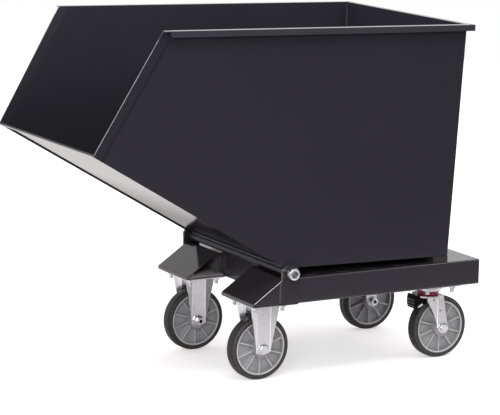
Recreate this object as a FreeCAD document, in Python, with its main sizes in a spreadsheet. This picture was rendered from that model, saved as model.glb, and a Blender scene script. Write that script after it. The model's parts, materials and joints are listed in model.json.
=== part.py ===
import FreeCAD
import Part
import Sketcher
import os
import re

# Driving sizes in millimetres and degrees, kept in the document's sheet
SIZES = {
    # Fits and cuts
    "cut_overrun": 5,
    "weld_gap": 0.1,
    "running_gap": 0.05,
    "seat_gap": 0.02,
    "face_gap": 0.3,
    # Wheels
    "wheel_diameter": 160,
    "wheelbase": 528,
    "caster_inset": 83,
    "tyre_width": 35,
    "tyre_depth": 12,
    "tyre_shoulder": 9,
    "rim_width": 31,
    "rim_ring": 5,
    "web_thickness": 8,
    "rib_thickness": 3.6,
    "rib_width": 24,
    "hub_diameter": 44,
    "hub_length": 50,
    "bearing_diameter": 26,
    # Axles
    "axle_diameter": 12,
    "axle_across": 19,
    "axle_head": 7.5,
    "axle_nut": 10,
    "axle_tail": 2,
    # Caster plates and their fixings
    "plate_length": 110,
    "plate_width": 140,
    "plate_sheet": 4,
    "plate_corner": 8,
    "hole_spacing_along": 75,
    "hole_spacing_across": 105,
    "bolt_hole_diameter": 11,
    "bolt_diameter": 10,
    "bolt_across": 16,
    "bolt_head": 6.4,
    "nut_height": 8,
    "bolt_tail": 9,
    # Forks
    "fork_sheet": 3.5,
    "fork_gap": 52,
    "fork_foot_drop": 11,
    "fork_foot_corner": 5,
    # Fixed fork
    "fork_top_width": 82,
    "fork_foot_width": 40,
    "fork_panel_width": 38,
    "fork_wing_bend": 18,
    # Swivel head
    "swivel_trail": 30,
    "head_height": 19.4,
    "head_diameter": 72,
    "head_round": 6,
    "head_neck_diameter": 46,
    "dust_ring_diameter": 54,
    "dust_ring_height": 9,
    "king_pin_diameter": 16,
    "king_head_diameter": 24,
    "king_head_height": 3,
    # Swivel fork
    "crown_sheet": 4,
    "crown_diameter": 82,
    "leg_front": 55,
    "leg_nose": 11,
    "leg_nose_rake": 3,
    "leg_curve": 200,
    "leg_fold": 18,
    "leg_wing_bend": 9,
    "leg_foot_front": 16,
    "leg_foot_rear": 15,
    "leg_rear": 1,
    "rivet_hole_diameter": 5,
    "rivet_hole_front": 32,
    "rivet_hole_height": 80,
    # Brake pedal
    "pedal_pivot_front": 47,
    "pedal_pivot_height": 76,
    "pedal_pin_diameter": 7,
    "pedal_length": 34,
    "pedal_height": 35,
    "pedal_width": 38,
    "shoe_width": 34,
    # Undercarriage frame
    "skirt_bottom": 200,
    "skirt_height": 64,
    "frame_width": 500,
    "rear_overhang": 67,
    "wall_front": 52,
    "frame_sheet": 3,
    "flange_width": 20,
    "bend_radius": 4,
    "mount_sheet": 5,
    "rear_mount_reach": 82,
    "rear_mount_front": 80,
    # Front arms
    "arm_reach": 61,
    "arm_width": 160,
    "arm_fold": 8,
    "arm_slope_top": 22,
    # Pivot
    "pivot_behind": 37.5,
    "pivot_height": 279,
    "ear_width": 46,
    "ear_thickness": 6,
    "ear_rise": 19,
    "ear_corner": 15,
    "sleeve_diameter": 14,
    "sleeve_stand": 2,
    "tube_diameter": 22,
    "tube_end_gap": 0.5,
    "pivot_bolt_diameter": 10,
    "pivot_bolt_grip": 40,
    "pivot_head_diameter": 29.5,
    "pivot_head_height": 16,
    "pivot_head_round": 3,
    "socket_across": 17,
    "socket_depth": 8,
    "washer_diameter": 27,
    "washer_thickness": 2.5,
    # Rest pads
    "pad_behind": 477,
    "pad_length": 42,
    "pad_width": 30,
    "pad_inset": 1,
    # Skip
    "skip_sheet": 2.5,
    "rest_tilt": 1.2,
    "side_lean": 3.2,
    "floor_side_gap": 3.8,
    "floor_lead": 13.7,
    "floor_reach": 461,
    "skip_height": 586,
    "chute_angle": 29.5,
    "chute_length": 608,
    "chute_drop": 3,
    "hem_width": 14,
    "hem_round": 2.2,
    "lip_strip_width": 20,
    "lip_strip_bend": 8,
    "lip_strip_overlap": 1,
    "rim_out": 15,
    "rim_down": 15,
    "rim_cutback": 17,
    "rim_cut_slant": 5,
}

# Sizes that follow from the driving ones
DERIVED = {
    "wheel_radius": "wheel_diameter / 2",
    "rim_radius": "wheel_radius - tyre_depth",
    "deck_top": "skirt_bottom + skirt_height",
    "frame_rear": "wheelbase + rear_overhang",
    "half_frame": "frame_width / 2",
    "track": "frame_width - 2 * caster_inset",
    "half_track": "track / 2",
    "rear_mount_inner": "half_track - rear_mount_reach",
    "arm_inner": "half_frame - arm_width",
    "arm_slope": "atan((skirt_height - arm_fold) / (arm_slope_top + arm_reach))",
    "fork_half": "fork_gap / 2 + fork_sheet",
    "plate_under": "skirt_bottom - plate_sheet",
    "fork_top": "plate_under - wheel_radius",
    "swivel_behind": "wheelbase - swivel_trail",
    "ring_top": "plate_under - head_height",
    "crown_top": "ring_top - dust_ring_height - 2 * face_gap - wheel_radius",
    "tube_radius": "tube_diameter / 2",
    "sleeve_end": "half_frame + ear_thickness + sleeve_stand",
    "floor_under": "tube_radius + weld_gap",
    "half_floor": "half_frame - floor_side_gap",
    "half_top": "half_floor + skip_height * tan(side_lean)",
    "wall_inset": "skip_sheet / cos(side_lean) + weld_gap",
    "panel_top": "skip_height / cos(side_lean)",
    "lip_front": "-floor_lead - chute_length * cos(chute_angle)",
    "panel_lip": "chute_length * sin(chute_angle)",
    "lip_rise": "panel_lip * cos(side_lean)",
    "top_front": "lip_front + (panel_top - panel_lip) * tan(chute_angle)",
    "chute_slope": "atan(tan(chute_angle) * cos(side_lean))",
    "chute_start": "chute_drop / sin(chute_slope) - floor_lead",
    "chute_run": "(chute_start - lip_front) / cos(chute_slope) - chute_drop * tan(chute_slope)",
    "strip_run": "lip_strip_width * cos(lip_strip_bend)",
    "strip_out": "lip_strip_width * sin(lip_strip_bend)",
    "strip_clear": "(skip_sheet + weld_gap) / cos(chute_angle)",
    # The origin lies half-way between the lip's tip and the back of the rear tyres
    "pivot_x": "-(lip_front * cos(rest_tilt) + (floor_under + lip_rise) * sin(rest_tilt)"
               " + wheelbase + wheel_radius - pivot_behind) / 2",
    "axle_x": "pivot_x - pivot_behind",
    "rear_axle_x": "axle_x + wheelbase",
    "swivel_x": "axle_x + swivel_behind",
}

RIB_COUNT = 10
HEX_SIDES = 6
HEX_CONE = 30
HEX_FACE_SHARE = 0.95

# Outline of the pedal as shares of its length and height, from its pin, toe to the left
PEDAL_SHARES = [(0.12, 0.14), (-0.735, 0.13), (-0.81, 0.37), (-0.94, 0.37), (-1, 0.14), (-1, -0.34),
                (-0.91, -0.63), (-0.79, -0.63), (-0.79, -0.474), (-0.28, -0.2), (0.12, -0.17)]

# Outline of the brake shoe as shares of the pedal's length and height, along its underside
SHOE_SHARES = [(-0.3235, -0.2286), (-0.6765, -0.4143), (-0.591, -0.566), (-0.238, -0.38)]

AXES = {"X": "vector(1; 0; 0)", "Y": "vector(0; 1; 0)", "Z": "vector(0; 0; 1)"}

doc = FreeCAD.newDocument("TippingSkipTrolley")
sheet = doc.addObject("Spreadsheet::Sheet", "Sizes")
for row, (size_name, size_value) in enumerate(SIZES.items(), 1):
    sheet.set(f"A{row}", size_name)
    sheet.set(f"B{row}", str(size_value))
    sheet.setAlias(f"B{row}", size_name)
doc.recompute()

subparts = []


def formula(text):
    """Writes a formula in size names as an expression on the sheet's cells."""
    def swap(match):
        word = match.group(0)
        if word in SIZES:
            return f"Sizes.{word}"
        if word in DERIVED:
            return f"({formula(DERIVED[word])})"
        return word
    return re.sub(r"[A-Za-z_]\w*", swap, text)


def value(text):
    """Works out a formula as a plain number."""
    result = sheet.evalExpression(formula(text))
    return float(getattr(result, "Value", result))


def bind(item, name, text):
    """Ties a property to a formula in size names."""
    item.setExpression(name, formula(text))


def placing(x, y, z, *turns):
    """Writes a placement: a point, then turns about named axes."""
    spins = [f"rotation({AXES[axis]}; {formula(angle)})" for axis, angle in turns]
    spin = " * ".join(spins) if spins else "rotation(vector(0; 0; 1); 0)"
    return f"placement(vector({formula(x)}; {formula(y)}; {formula(z)}); {spin})"


def place(item, *steps):
    """Puts an object at the product of the given placements."""
    item.setExpression("Placement", " * ".join(steps))


def keep(item, label):
    """Names an object as a sub-part that is written to its own file."""
    item.Label = label
    subparts.append(item)
    return item


def mirror(item, label):
    """Makes the right-hand twin of a left-hand piece."""
    twin = doc.addObject("Part::Mirroring", label)
    twin.Source = item
    twin.Normal = FreeCAD.Vector(0, 1, 0)
    return keep(twin, label)


def pair(item, label):
    """Keeps a left-hand piece and its right-hand twin under two names."""
    keep(item, f"left_{label}")
    mirror(item, f"right_{label}")


def group(label, pieces):
    """Keeps several separate solids under one name."""
    bundle = doc.addObject("Part::Compound", label)
    bundle.Links = pieces
    return keep(bundle, label)


def both_sides(label, pieces):
    """Keeps left-hand pieces and their twins as one group."""
    twins = []
    for piece in pieces:
        twin = doc.addObject("Part::Mirroring", f"{label}_twin")
        twin.Source = piece
        twin.Normal = FreeCAD.Vector(0, 1, 0)
        twins.append(twin)
    return group(label, pieces + twins)


def new_body(name):
    return doc.addObject("PartDesign::Body", name)


def sketch_on(body, plane, offset="0"):
    """Adds a sketch on one of the body's own planes, moved along its normal."""
    sketch = body.newObject("Sketcher::SketchObject", "Sketch")
    support = next(item for item in body.Origin.OriginFeatures if item.Role == plane)
    sketch.AttachmentSupport = (support, [""])
    sketch.MapMode = "FlatFace"
    bind(sketch, "AttachmentOffset.Base.z", offset)
    return sketch


def hold_point(sketch, curve, end, x, y):
    """Ties one end of a sketch curve to a point given by two formulas."""
    for kind, text in (("DistanceX", x), ("DistanceY", y)):
        index = sketch.addConstraint(Sketcher.Constraint(kind, -1, 1, curve, end, value(text)))
        bind(sketch, f"Constraints[{index}]", text)


def outline(sketch, points, bows={}):
    """Draws a closed outline through points given by formulas; bows maps a line to its arc's radius."""
    corners = [FreeCAD.Vector(value(x), value(y), 0) for x, y in points]
    count = len(points)
    ends = []
    for number, corner in enumerate(corners):
        after = corners[(number + 1) % count]
        shape = Part.LineSegment(corner, after)
        if number in bows:
            radius = value(bows[number])
            half = (after - corner) * 0.5
            sag = radius - (radius ** 2 - half.Length ** 2) ** 0.5
            across = FreeCAD.Vector(-half.y, half.x, 0).normalize()
            shape = Part.Arc(corner, corner + half + across * sag, after)
        index = sketch.addGeometry(shape, False)
        starts_here = sketch.getPoint(index, 1).distanceToPoint(corner) < half_of(corner, after)
        ends.append((index, 1, 2) if starts_here else (index, 2, 1))
        if number in bows:
            constraint = sketch.addConstraint(Sketcher.Constraint("Radius", index, radius))
            bind(sketch, f"Constraints[{constraint}]", bows[number])
    for number, (x, y) in enumerate(points):
        index, start, end = ends[number]
        next_index, next_start, next_end = ends[(number + 1) % count]
        sketch.addConstraint(Sketcher.Constraint("Coincident", index, end, next_index, next_start))
        hold_point(sketch, index, start, x, y)
    return sketch


def half_of(start, end):
    return start.distanceToPoint(end) / 2


def path(sketch, points):
    """Draws an open path of straight lines through points given by formulas."""
    corners = [FreeCAD.Vector(value(x), value(y), 0) for x, y in points]
    for start, end in zip(corners, corners[1:]):
        sketch.addGeometry(Part.LineSegment(start, end), False)
    for number, (x, y) in enumerate(points[:-1]):
        hold_point(sketch, number, 1, x, y)
        if number:
            sketch.addConstraint(Sketcher.Constraint("Coincident", number - 1, 2, number, 1))
    hold_point(sketch, len(points) - 2, 2, *points[-1])
    return sketch


def box_outline(sketch, low_x, low_y, high_x, high_y):
    return outline(sketch, [(low_x, low_y), (high_x, low_y), (high_x, high_y), (low_x, high_y)])


def circle(sketch, diameter, x="0", y="0"):
    centre = FreeCAD.Vector(value(x), value(y), 0)
    curve = sketch.addGeometry(Part.Circle(centre, FreeCAD.Vector(0, 0, 1), value(diameter) / 2), False)
    hold_point(sketch, curve, 3, x, y)
    index = sketch.addConstraint(Sketcher.Constraint("Diameter", curve, value(diameter)))
    bind(sketch, f"Constraints[{index}]", diameter)
    return sketch


def hexagon(sketch, across):
    """Draws a hexagon by its width across flats."""
    corner = f"({across}) / (2 * cos(180 / {HEX_SIDES}))"
    turns = [number * 360 / HEX_SIDES for number in range(HEX_SIDES)]
    return outline(sketch, [(f"{corner} * cos({turn})", f"{corner} * sin({turn})") for turn in turns])


def feature(body, kind, sketch, length, side):
    item = body.newObject(f"PartDesign::{kind}", kind)
    item.Profile = sketch
    if length == "all":
        item.Type = "ThroughAll"
    else:
        bind(item, "Length", length)
    if side == "both":
        item.SideType = "Symmetric"
    item.Reversed = side == "back"
    return item


def pad(body, sketch, length, side="front"):
    return feature(body, "Pad", sketch, length, side)


def pocket(body, sketch, length="all", side="both"):
    """Cuts a pocket, and makes sure that it took something away."""
    doc.recompute()
    before = body.Shape.Volume
    item = feature(body, "Pocket", sketch, length, side)
    doc.recompute()
    if not body.Shape.Volume < before:
        raise RuntimeError(f"A pocket in {body.Name} cuts nothing")
    return item


def revolve(body, sketch):
    """Turns a profile about the sketch's horizontal axis."""
    item = body.newObject("PartDesign::Revolution", "Revolution")
    item.Profile = sketch
    item.ReferenceAxis = (sketch, ["H_Axis"])
    item.Angle = 360
    return item


def round_edges(body, radius, points):
    """Rounds the edges that pass through the given points."""
    doc.recompute()
    base = body.Tip
    edges = base.Shape.Edges
    names = []
    for point in points:
        spot = Part.Vertex(FreeCAD.Vector(*[value(text) for text in point]))
        gaps = [edge.distToShape(spot)[0] for edge in edges]
        names.append(f"Edge{gaps.index(min(gaps)) + 1}")
    item = body.newObject("PartDesign::Fillet", "Bend")
    item.Base = (base, names)
    bind(item, "Radius", radius)
    return item


def ring(name, outer, inner, height):
    """A plain ring that stands on its own XY plane."""
    body = new_body(name)
    pad(body, circle(circle(sketch_on(body, "XY_Plane"), outer), inner), height)
    return body


def cone_corners(body, across, top):
    """Takes the corners off the end of a hexagon with a shallow cone."""
    face = f"({across}) * {HEX_FACE_SHARE} / 2"
    past = f"(({across}) / (2 * cos(180 / {HEX_SIDES})) + cut_overrun)"
    cut = body.newObject("PartDesign::Groove", "Cone")
    cut.Profile = outline(sketch_on(body, "XZ_Plane"), [
        (face, top),
        (past, f"{top} - ({past} - {face}) * tan({HEX_CONE})"),
        (past, f"{top} + cut_overrun"),
        (face, f"{top} + cut_overrun"),
    ])
    cut.ReferenceAxis = (cut.Profile[0], ["V_Axis"])
    cut.Angle = 360


def hex_bolt(name, across, head, shank, length):
    """A bolt whose head stands on its XY plane, with the shank below."""
    body = new_body(name)
    pad(body, hexagon(sketch_on(body, "XY_Plane"), across), head)
    cone_corners(body, across, head)
    pad(body, circle(sketch_on(body, "XY_Plane"), shank), length, "back")
    return body


def hex_nut(name, across, hole, height):
    body = new_body(name)
    pad(body, circle(hexagon(sketch_on(body, "XY_Plane"), across), hole), height)
    cone_corners(body, across, height)
    return body


# The skip's own frame: origin on the pivot axis, tilted back as it rests
SKIP_FRAME = placing("pivot_x", "0", "pivot_height", ("Y", "rest_tilt"))
FRONT_FRAME = placing("axle_x", "0", "0")


def make_skip_side():
    panel = new_body("SidePanel")
    outline(sketch := sketch_on(panel, "XZ_Plane"), [
        ("-floor_lead", "0"),
        ("floor_reach", "0"),
        ("floor_reach", "panel_top"),
        ("top_front + strip_run / cos(chute_angle)", "panel_top"),
        ("lip_front + strip_run * cos(chute_angle)", "panel_lip - strip_run * sin(chute_angle)"),
    ])
    pad(panel, sketch, "skip_sheet", "back")
    panel_frame = placing("0", "-half_floor", "floor_under", ("X", "side_lean"))
    place(panel, SKIP_FRAME, panel_frame)

    # The strip stands on the chute's edge and is cut level with the underside of the rim
    strip = new_body("LipStrip")
    strip_top = ("((panel_top - panel_lip) / cos(chute_angle)"
                 " + (strip_run + lip_strip_overlap) * tan(chute_angle))")
    pad(strip, outline(sketch_on(strip, "XY_Plane"), [
        ("lip_strip_overlap", "0"),
        ("0", "0"),
        ("-strip_run", "-strip_out"),
        ("-strip_run", "skip_sheet - strip_out"),
        ("0", "skip_sheet"),
        ("lip_strip_overlap", "skip_sheet"),
    ]), strip_top)
    past = "(strip_run + cut_overrun)"
    cut_top = f"{strip_top} - strip_clear"
    pocket(strip, outline(sketch_on(strip, "XZ_Plane"), [
        ("lip_strip_overlap", cut_top),
        (f"-{past}", f"{cut_top} - ({past} + lip_strip_overlap) * tan(chute_angle)"),
        (f"-{past}", f"{strip_top} + cut_overrun"),
        ("lip_strip_overlap", f"{strip_top} + cut_overrun"),
    ]))
    strip_frame = placing("lip_front + strip_run * cos(chute_angle)", "0",
                          "panel_lip - strip_run * sin(chute_angle)", ("Y", "chute_angle"))
    place(strip, SKIP_FRAME, panel_frame, strip_frame)

    side = doc.addObject("Part::MultiFuse", "SkipSide")
    side.Shapes = [panel, strip]
    side.Refine = True
    pair(side, "skip_side")


def make_skip_plates():
    rear = new_body("RearWall")
    half_low = "(half_floor - wall_inset)"
    half_high = "(half_top - wall_inset)"
    pad(rear, outline(sketch_on(rear, "YZ_Plane", "floor_reach - skip_sheet"), [
        (f"-{half_low}", "floor_under"),
        (half_low, "floor_under"),
        (half_high, "floor_under + skip_height"),
        (f"-{half_high}", "floor_under + skip_height"),
    ]), "skip_sheet")
    place(rear, SKIP_FRAME)
    keep(rear, "skip_rear_wall")

    floor = new_body("Floor")
    pad(floor, box_outline(sketch_on(floor, "XY_Plane", "floor_under"),
                           "chute_start + skip_sheet * sin(chute_slope) + weld_gap", f"-{half_low}",
                           "floor_reach - skip_sheet - weld_gap", half_low), "skip_sheet")
    place(floor, SKIP_FRAME)
    keep(floor, "skip_floor")

    chute = new_body("Chute")
    half_lip = "(half_floor + chute_run * sin(chute_slope) * tan(side_lean) - wall_inset)"
    pad(chute, outline(sketch_on(chute, "XY_Plane"), [
        ("0", f"-{half_low}"),
        ("0", half_low),
        ("-chute_run", half_lip),
        ("-chute_run", f"-{half_lip}"),
    ]), "skip_sheet")
    # The lip is hemmed: folded back under itself, with a round nose
    half_nose = f"({half_lip} - 2 * weld_gap)"
    half_hem = f"({half_nose} - hem_width * ({half_lip} - {half_low}) / chute_run)"
    pad(chute, outline(sketch_on(chute, "XY_Plane"), [
        ("hem_width - chute_run", f"-{half_hem}"),
        ("hem_width - chute_run", half_hem),
        ("-chute_run", half_nose),
        ("-chute_run", f"-{half_nose}"),
    ]), "skip_sheet", "back")
    round_edges(chute, "hem_round", [("-chute_run", "0", "skip_sheet"), ("-chute_run", "0", "-skip_sheet")])
    place(chute, SKIP_FRAME, placing("chute_start", "0", "floor_under", ("Y", "chute_slope")))
    keep(chute, "skip_chute")


def make_skip_rim():
    """An angle swept along both sides and the rear, with mitred corners."""
    rim = new_body("Rim")
    run = "(floor_reach - top_front)"
    route = path(sketch_on(rim, "XY_Plane"), [
        ("0", "-half_top"), (run, "-half_top"), (run, "half_top"), ("0", "half_top"),
    ])
    outer = "-(half_top + rim_out)"
    section = outline(sketch_on(rim, "YZ_Plane"), [
        ("-half_top", "0"),
        (outer, "0"),
        (outer, "-rim_down"),
        (f"{outer} + skip_sheet", "-rim_down"),
        (f"{outer} + skip_sheet", "-skip_sheet"),
        ("-half_top", "-skip_sheet"),
    ])
    doc.recompute()
    sweep = rim.newObject("PartDesign::AdditivePipe", "Sweep")
    sweep.Profile = section
    sweep.Spine = (route, ["Edge1", "Edge2", "Edge3"])
    sweep.Transition = "Right corner"
    # The turned-down edge starts behind the front corner, on a slant
    pocket(rim, outline(sketch_on(rim, "XZ_Plane"), [
        ("-cut_overrun", "-skip_sheet"),
        ("rim_cutback - rim_cut_slant", "-skip_sheet"),
        ("rim_cutback", "-rim_down"),
        ("rim_cutback", "-rim_down - cut_overrun"),
        ("-cut_overrun", "-rim_down - cut_overrun"),
    ]))
    place(rim, SKIP_FRAME, placing("top_front", "0", "floor_under + skip_height"))
    keep(rim, "skip_rim")


def make_pivot():
    tube = new_body("PivotTube")
    bore = "pivot_bolt_diameter + 2 * seat_gap"
    pad(tube, circle(circle(sketch_on(tube, "XZ_Plane"), "tube_diameter"), bore),
        "2 * (half_frame - tube_end_gap)", "both")
    place(tube, SKIP_FRAME)
    keep(tube, "pivot_tube")

    head_seat = "sleeve_end + face_gap + washer_thickness"
    bolt = new_body("PivotBolt")
    pad(bolt, circle(sketch_on(bolt, "XY_Plane"), "pivot_head_diameter"), "pivot_head_height")
    round_edges(bolt, "pivot_head_round", [("0", "pivot_head_diameter / 2", "pivot_head_height")])
    pocket(bolt, hexagon(sketch_on(bolt, "XY_Plane", "pivot_head_height"), "socket_across"),
           "socket_depth", "front")
    pad(bolt, circle(sketch_on(bolt, "XY_Plane"), "pivot_bolt_diameter"),
        f"{head_seat} - half_frame + tube_end_gap + pivot_bolt_grip", "back")
    place(bolt, SKIP_FRAME, placing("0", f"-({head_seat})", "0", ("X", "90")))
    both_sides("pivot_bolts", [bolt])

    washer = ring("PivotWasher", "washer_diameter", "pivot_bolt_diameter + 2 * seat_gap",
                  "washer_thickness")
    place(washer, SKIP_FRAME, placing("0", "-(sleeve_end + face_gap)", "0", ("X", "90")))
    both_sides("pivot_washers", [washer])

    sleeve = ring("PivotSleeve", "sleeve_diameter", "pivot_bolt_diameter + 2 * running_gap",
                  "ear_thickness + sleeve_stand")
    place(sleeve, placing("pivot_x", "-half_frame", "pivot_height", ("X", "90")))
    both_sides("pivot_sleeves", [sleeve])

    ear = new_body("PivotEar")
    ear_top = "pivot_height + ear_rise"
    pad(ear, box_outline(sketch_on(ear, "XZ_Plane"), "-ear_width / 2", "skirt_bottom",
                         "ear_width / 2", ear_top), "ear_thickness")
    round_edges(ear, "ear_corner", [("-ear_width / 2", "-ear_thickness / 2", ear_top),
                                    ("ear_width / 2", "-ear_thickness / 2", ear_top)])
    pocket(ear, circle(sketch_on(ear, "XZ_Plane"), "sleeve_diameter + 2 * seat_gap", "0", "pivot_height"))
    place(ear, placing("pivot_x", "-half_frame", "0"))
    pair(ear, "pivot_ear")


def make_side_beams():
    """A folded channel, open to the middle of the frame."""
    beam = new_body("SideBeam")
    inner = "-half_frame + frame_sheet"
    lip = "-half_frame + flange_width"
    pad(beam, outline(sketch_on(beam, "YZ_Plane", "wall_front"), [
        ("-half_frame", "skirt_bottom"),
        (lip, "skirt_bottom"),
        (lip, "skirt_bottom + frame_sheet"),
        (inner, "skirt_bottom + frame_sheet"),
        (inner, "deck_top - frame_sheet"),
        (lip, "deck_top - frame_sheet"),
        (lip, "deck_top"),
        ("-half_frame", "deck_top"),
    ]), "frame_rear - wall_front")
    middle = "(wall_front + frame_rear) / 2"
    round_edges(beam, "bend_radius", [(middle, "-half_frame", "skirt_bottom"),
                                      (middle, "-half_frame", "deck_top")])
    place(beam, FRONT_FRAME)
    pair(beam, "side_beam")


def make_cross_beam(label, face, inward):
    """A channel between the side beams; inward is the sign of its open side along X."""
    beam = new_body("CrossBeam")
    web = f"{face} + {inward} * frame_sheet"
    lip = f"{face} + {inward} * flange_width"
    pad(beam, outline(sketch_on(beam, "XZ_Plane"), [
        (face, "skirt_bottom"),
        (lip, "skirt_bottom"),
        (lip, "skirt_bottom + frame_sheet"),
        (web, "skirt_bottom + frame_sheet"),
        (web, "deck_top - frame_sheet"),
        (lip, "deck_top - frame_sheet"),
        (lip, "deck_top"),
        (face, "deck_top"),
    ]), "frame_width - 2 * (flange_width + weld_gap)", "both")
    pad(beam, box_outline(sketch_on(beam, "XZ_Plane"), face, "skirt_bottom + frame_sheet + weld_gap",
                          web, "deck_top - frame_sheet - weld_gap"),
        "frame_width - 2 * (frame_sheet + weld_gap)", "both")
    place(beam, FRONT_FRAME)
    keep(beam, label)


def make_deck():
    deck = new_body("Deck")
    half = "(half_frame - flange_width - weld_gap)"
    pad(deck, box_outline(sketch_on(deck, "XY_Plane", "deck_top - frame_sheet"),
                          "wall_front + flange_width + weld_gap", f"-{half}",
                          "frame_rear - flange_width - weld_gap", half), "frame_sheet")
    place(deck, FRONT_FRAME)
    keep(deck, "deck_plate")


def make_arms():
    cover = new_body("ArmCover")
    back = "wall_front - weld_gap"
    fold_top = "skirt_bottom + arm_fold"
    pad(cover, outline(sketch_on(cover, "XZ_Plane", "arm_inner"), [
        ("-arm_reach", "skirt_bottom"),
        ("-arm_reach", fold_top),
        ("arm_slope_top", "deck_top"),
        (back, "deck_top"),
        (back, "deck_top - frame_sheet"),
        ("arm_slope_top + frame_sheet * tan(arm_slope / 2)", "deck_top - frame_sheet"),
        ("frame_sheet - arm_reach", f"{fold_top} - frame_sheet * tan(45 deg - arm_slope / 2)"),
        ("frame_sheet - arm_reach", "skirt_bottom"),
    ]), "arm_width")
    pad(cover, outline(sketch_on(cover, "XZ_Plane", "half_frame - frame_sheet"), [
        ("-arm_reach", "skirt_bottom"),
        ("-arm_reach", fold_top),
        ("arm_slope_top", "deck_top"),
        (back, "deck_top"),
        (back, "skirt_bottom"),
    ]), "frame_sheet")
    slope_x = "(arm_slope_top - arm_reach) / 2"
    slope_z = f"({fold_top} + deck_top) / 2"
    middle = "-arm_inner - arm_width / 2"
    round_edges(cover, "bend_radius", [("-arm_reach", middle, fold_top),
                                       ("arm_slope_top", middle, "deck_top")])
    round_edges(cover, "frame_sheet", [(slope_x, "-half_frame", slope_z)])
    place(cover, FRONT_FRAME)
    pair(cover, "arm_cover")

    base = new_body("ArmBase")
    make_mount_plate(base, "frame_sheet + weld_gap - arm_reach", back, "arm_inner",
                     "half_frame - frame_sheet - weld_gap", "0")
    pair(base, "arm_base")


def hole_places(centre_x, centre_y):
    """The four fixing holes of a caster plate about its centre."""
    return [(f"{centre_x} {along} hole_spacing_along / 2", f"{centre_y} {across} hole_spacing_across / 2")
            for along in "+-" for across in "+-"]


def make_mount_plate(body, front, back, inner, outer, caster_x):
    pad(body, box_outline(sketch_on(body, "XY_Plane", "skirt_bottom"), front, f"-({outer})",
                          back, f"-({inner})"), "mount_sheet")
    holes = sketch_on(body, "XY_Plane", "skirt_bottom")
    for x, y in hole_places(caster_x, "-half_track"):
        circle(holes, "bolt_hole_diameter", x, y)
    pocket(body, holes)
    place(body, FRONT_FRAME)


def make_rear_mounts():
    mount = new_body("RearMount")
    make_mount_plate(mount, "swivel_behind - rear_mount_front", "frame_rear - flange_width - weld_gap",
                     "rear_mount_inner", "half_frame - flange_width - weld_gap", "swivel_behind")
    pair(mount, "rear_mount")


def make_rest_pads():
    """A block whose top follows the tilted floor of the skip."""
    block = new_body("RestPad")
    front = "(pad_behind - pad_length / 2)"
    back = "(pad_behind + pad_length / 2)"
    top = "pivot_height + floor_under / cos(rest_tilt) - face_gap - ({} - pivot_behind) * tan(rest_tilt)"
    pad(block, outline(sketch_on(block, "XZ_Plane", "half_frame - pad_inset - pad_width"), [
        (front, "deck_top"),
        (back, "deck_top"),
        (back, top.format(back)),
        (front, top.format(front)),
    ]), "pad_width")
    place(block, FRONT_FRAME)
    pair(block, "rest_pad")


def folded_leg(fork, folds, bottom, height):
    """Two legs of sheet on either side of the wheel; each fold is its place along X and its turn."""
    for side in ("", "-"):
        outer, inner = folded_lines(folds)
        points = [(x, f"{side}({y})") for x, y in outer + inner[::-1]]
        pad(fork, outline(sketch_on(fork, "XY_Plane", bottom), points), height)


def folded_lines(folds):
    """The outer and inner faces of a leg's cross-section, with wings turned outward at its folds."""
    (front, front_edge, front_turn), (rear, rear_edge, rear_turn) = folds
    outer = []
    inner = []
    for fold, edge, turn, sign in ((front, front_edge, front_turn, "-"), (rear, rear_edge, rear_turn, "+")):
        wing = f"({edge} - ({fold})) * tan({turn})"
        bent = f"({fold}) {sign} fork_sheet * tan(({turn}) / 2)"
        bent_wing = f"({edge} - ({bent})) * tan({turn})"
        tips = [(edge, f"fork_half {sign} {wing}"), (fold, "fork_half")]
        backs = [(edge, f"fork_gap / 2 {sign} {bent_wing}"), (bent, "fork_gap / 2")]
        outer += tips if sign == "-" else tips[::-1]
        inner += backs if sign == "-" else backs[::-1]
    return outer, inner


def make_fixed_forks():
    """A plate with two legs, each a flat panel between two outward wings, cut to a taper."""
    fork = new_body("FixedFork")
    caster_plate(fork, "fork_top")
    half_top = "fork_top_width / 2"
    half_foot = "fork_foot_width / 2"
    half_panel = "fork_panel_width / 2"
    folded_leg(fork, [(f"-{half_panel}", f"-{half_top}", "fork_wing_bend"),
                      (half_panel, half_top, "fork_wing_bend")],
               "-fork_foot_drop", "fork_top + fork_foot_drop")
    for side in ("", "-"):
        pocket(fork, outline(sketch_on(fork, "XZ_Plane"), [
            (f"{side}({half_top})", "fork_top"),
            (f"{side}({half_foot})", "fork_foot_corner - fork_foot_drop"),
            (f"{side}({half_foot} - fork_foot_corner)", "-fork_foot_drop"),
            (f"{side}({half_foot} - fork_foot_corner)", "-fork_foot_drop - cut_overrun"),
            (f"{side}({half_top} + cut_overrun)", "-fork_foot_drop - cut_overrun"),
            (f"{side}({half_top} + cut_overrun)", "fork_top"),
        ]))
    pocket(fork, circle(sketch_on(fork, "XZ_Plane"), "axle_diameter + 2 * seat_gap"))
    plate_holes(fork, "fork_top", "0")
    place(fork, placing("axle_x", "-half_track", "wheel_radius"))
    pair(fork, "front_fork")


def plate_holes(body, height, centre_x):
    holes = sketch_on(body, "XY_Plane", height)
    for x, y in hole_places(centre_x, "0"):
        circle(holes, "bolt_hole_diameter", x, y)
    pocket(body, holes)


def caster_plate(body, height):
    """The top plate of a caster, with rounded corners."""
    ends = [f"{sign}plate_length / 2" for sign in ("-", "")]
    sides = [f"{sign}plate_width / 2" for sign in ("-", "")]
    pad(body, box_outline(sketch_on(body, "XY_Plane", height), ends[0], sides[0], ends[1], sides[1]),
        "plate_sheet")
    middle = f"{height} + plate_sheet / 2"
    round_edges(body, "plate_corner", [(end, side, middle) for end in ends for side in sides])


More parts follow.
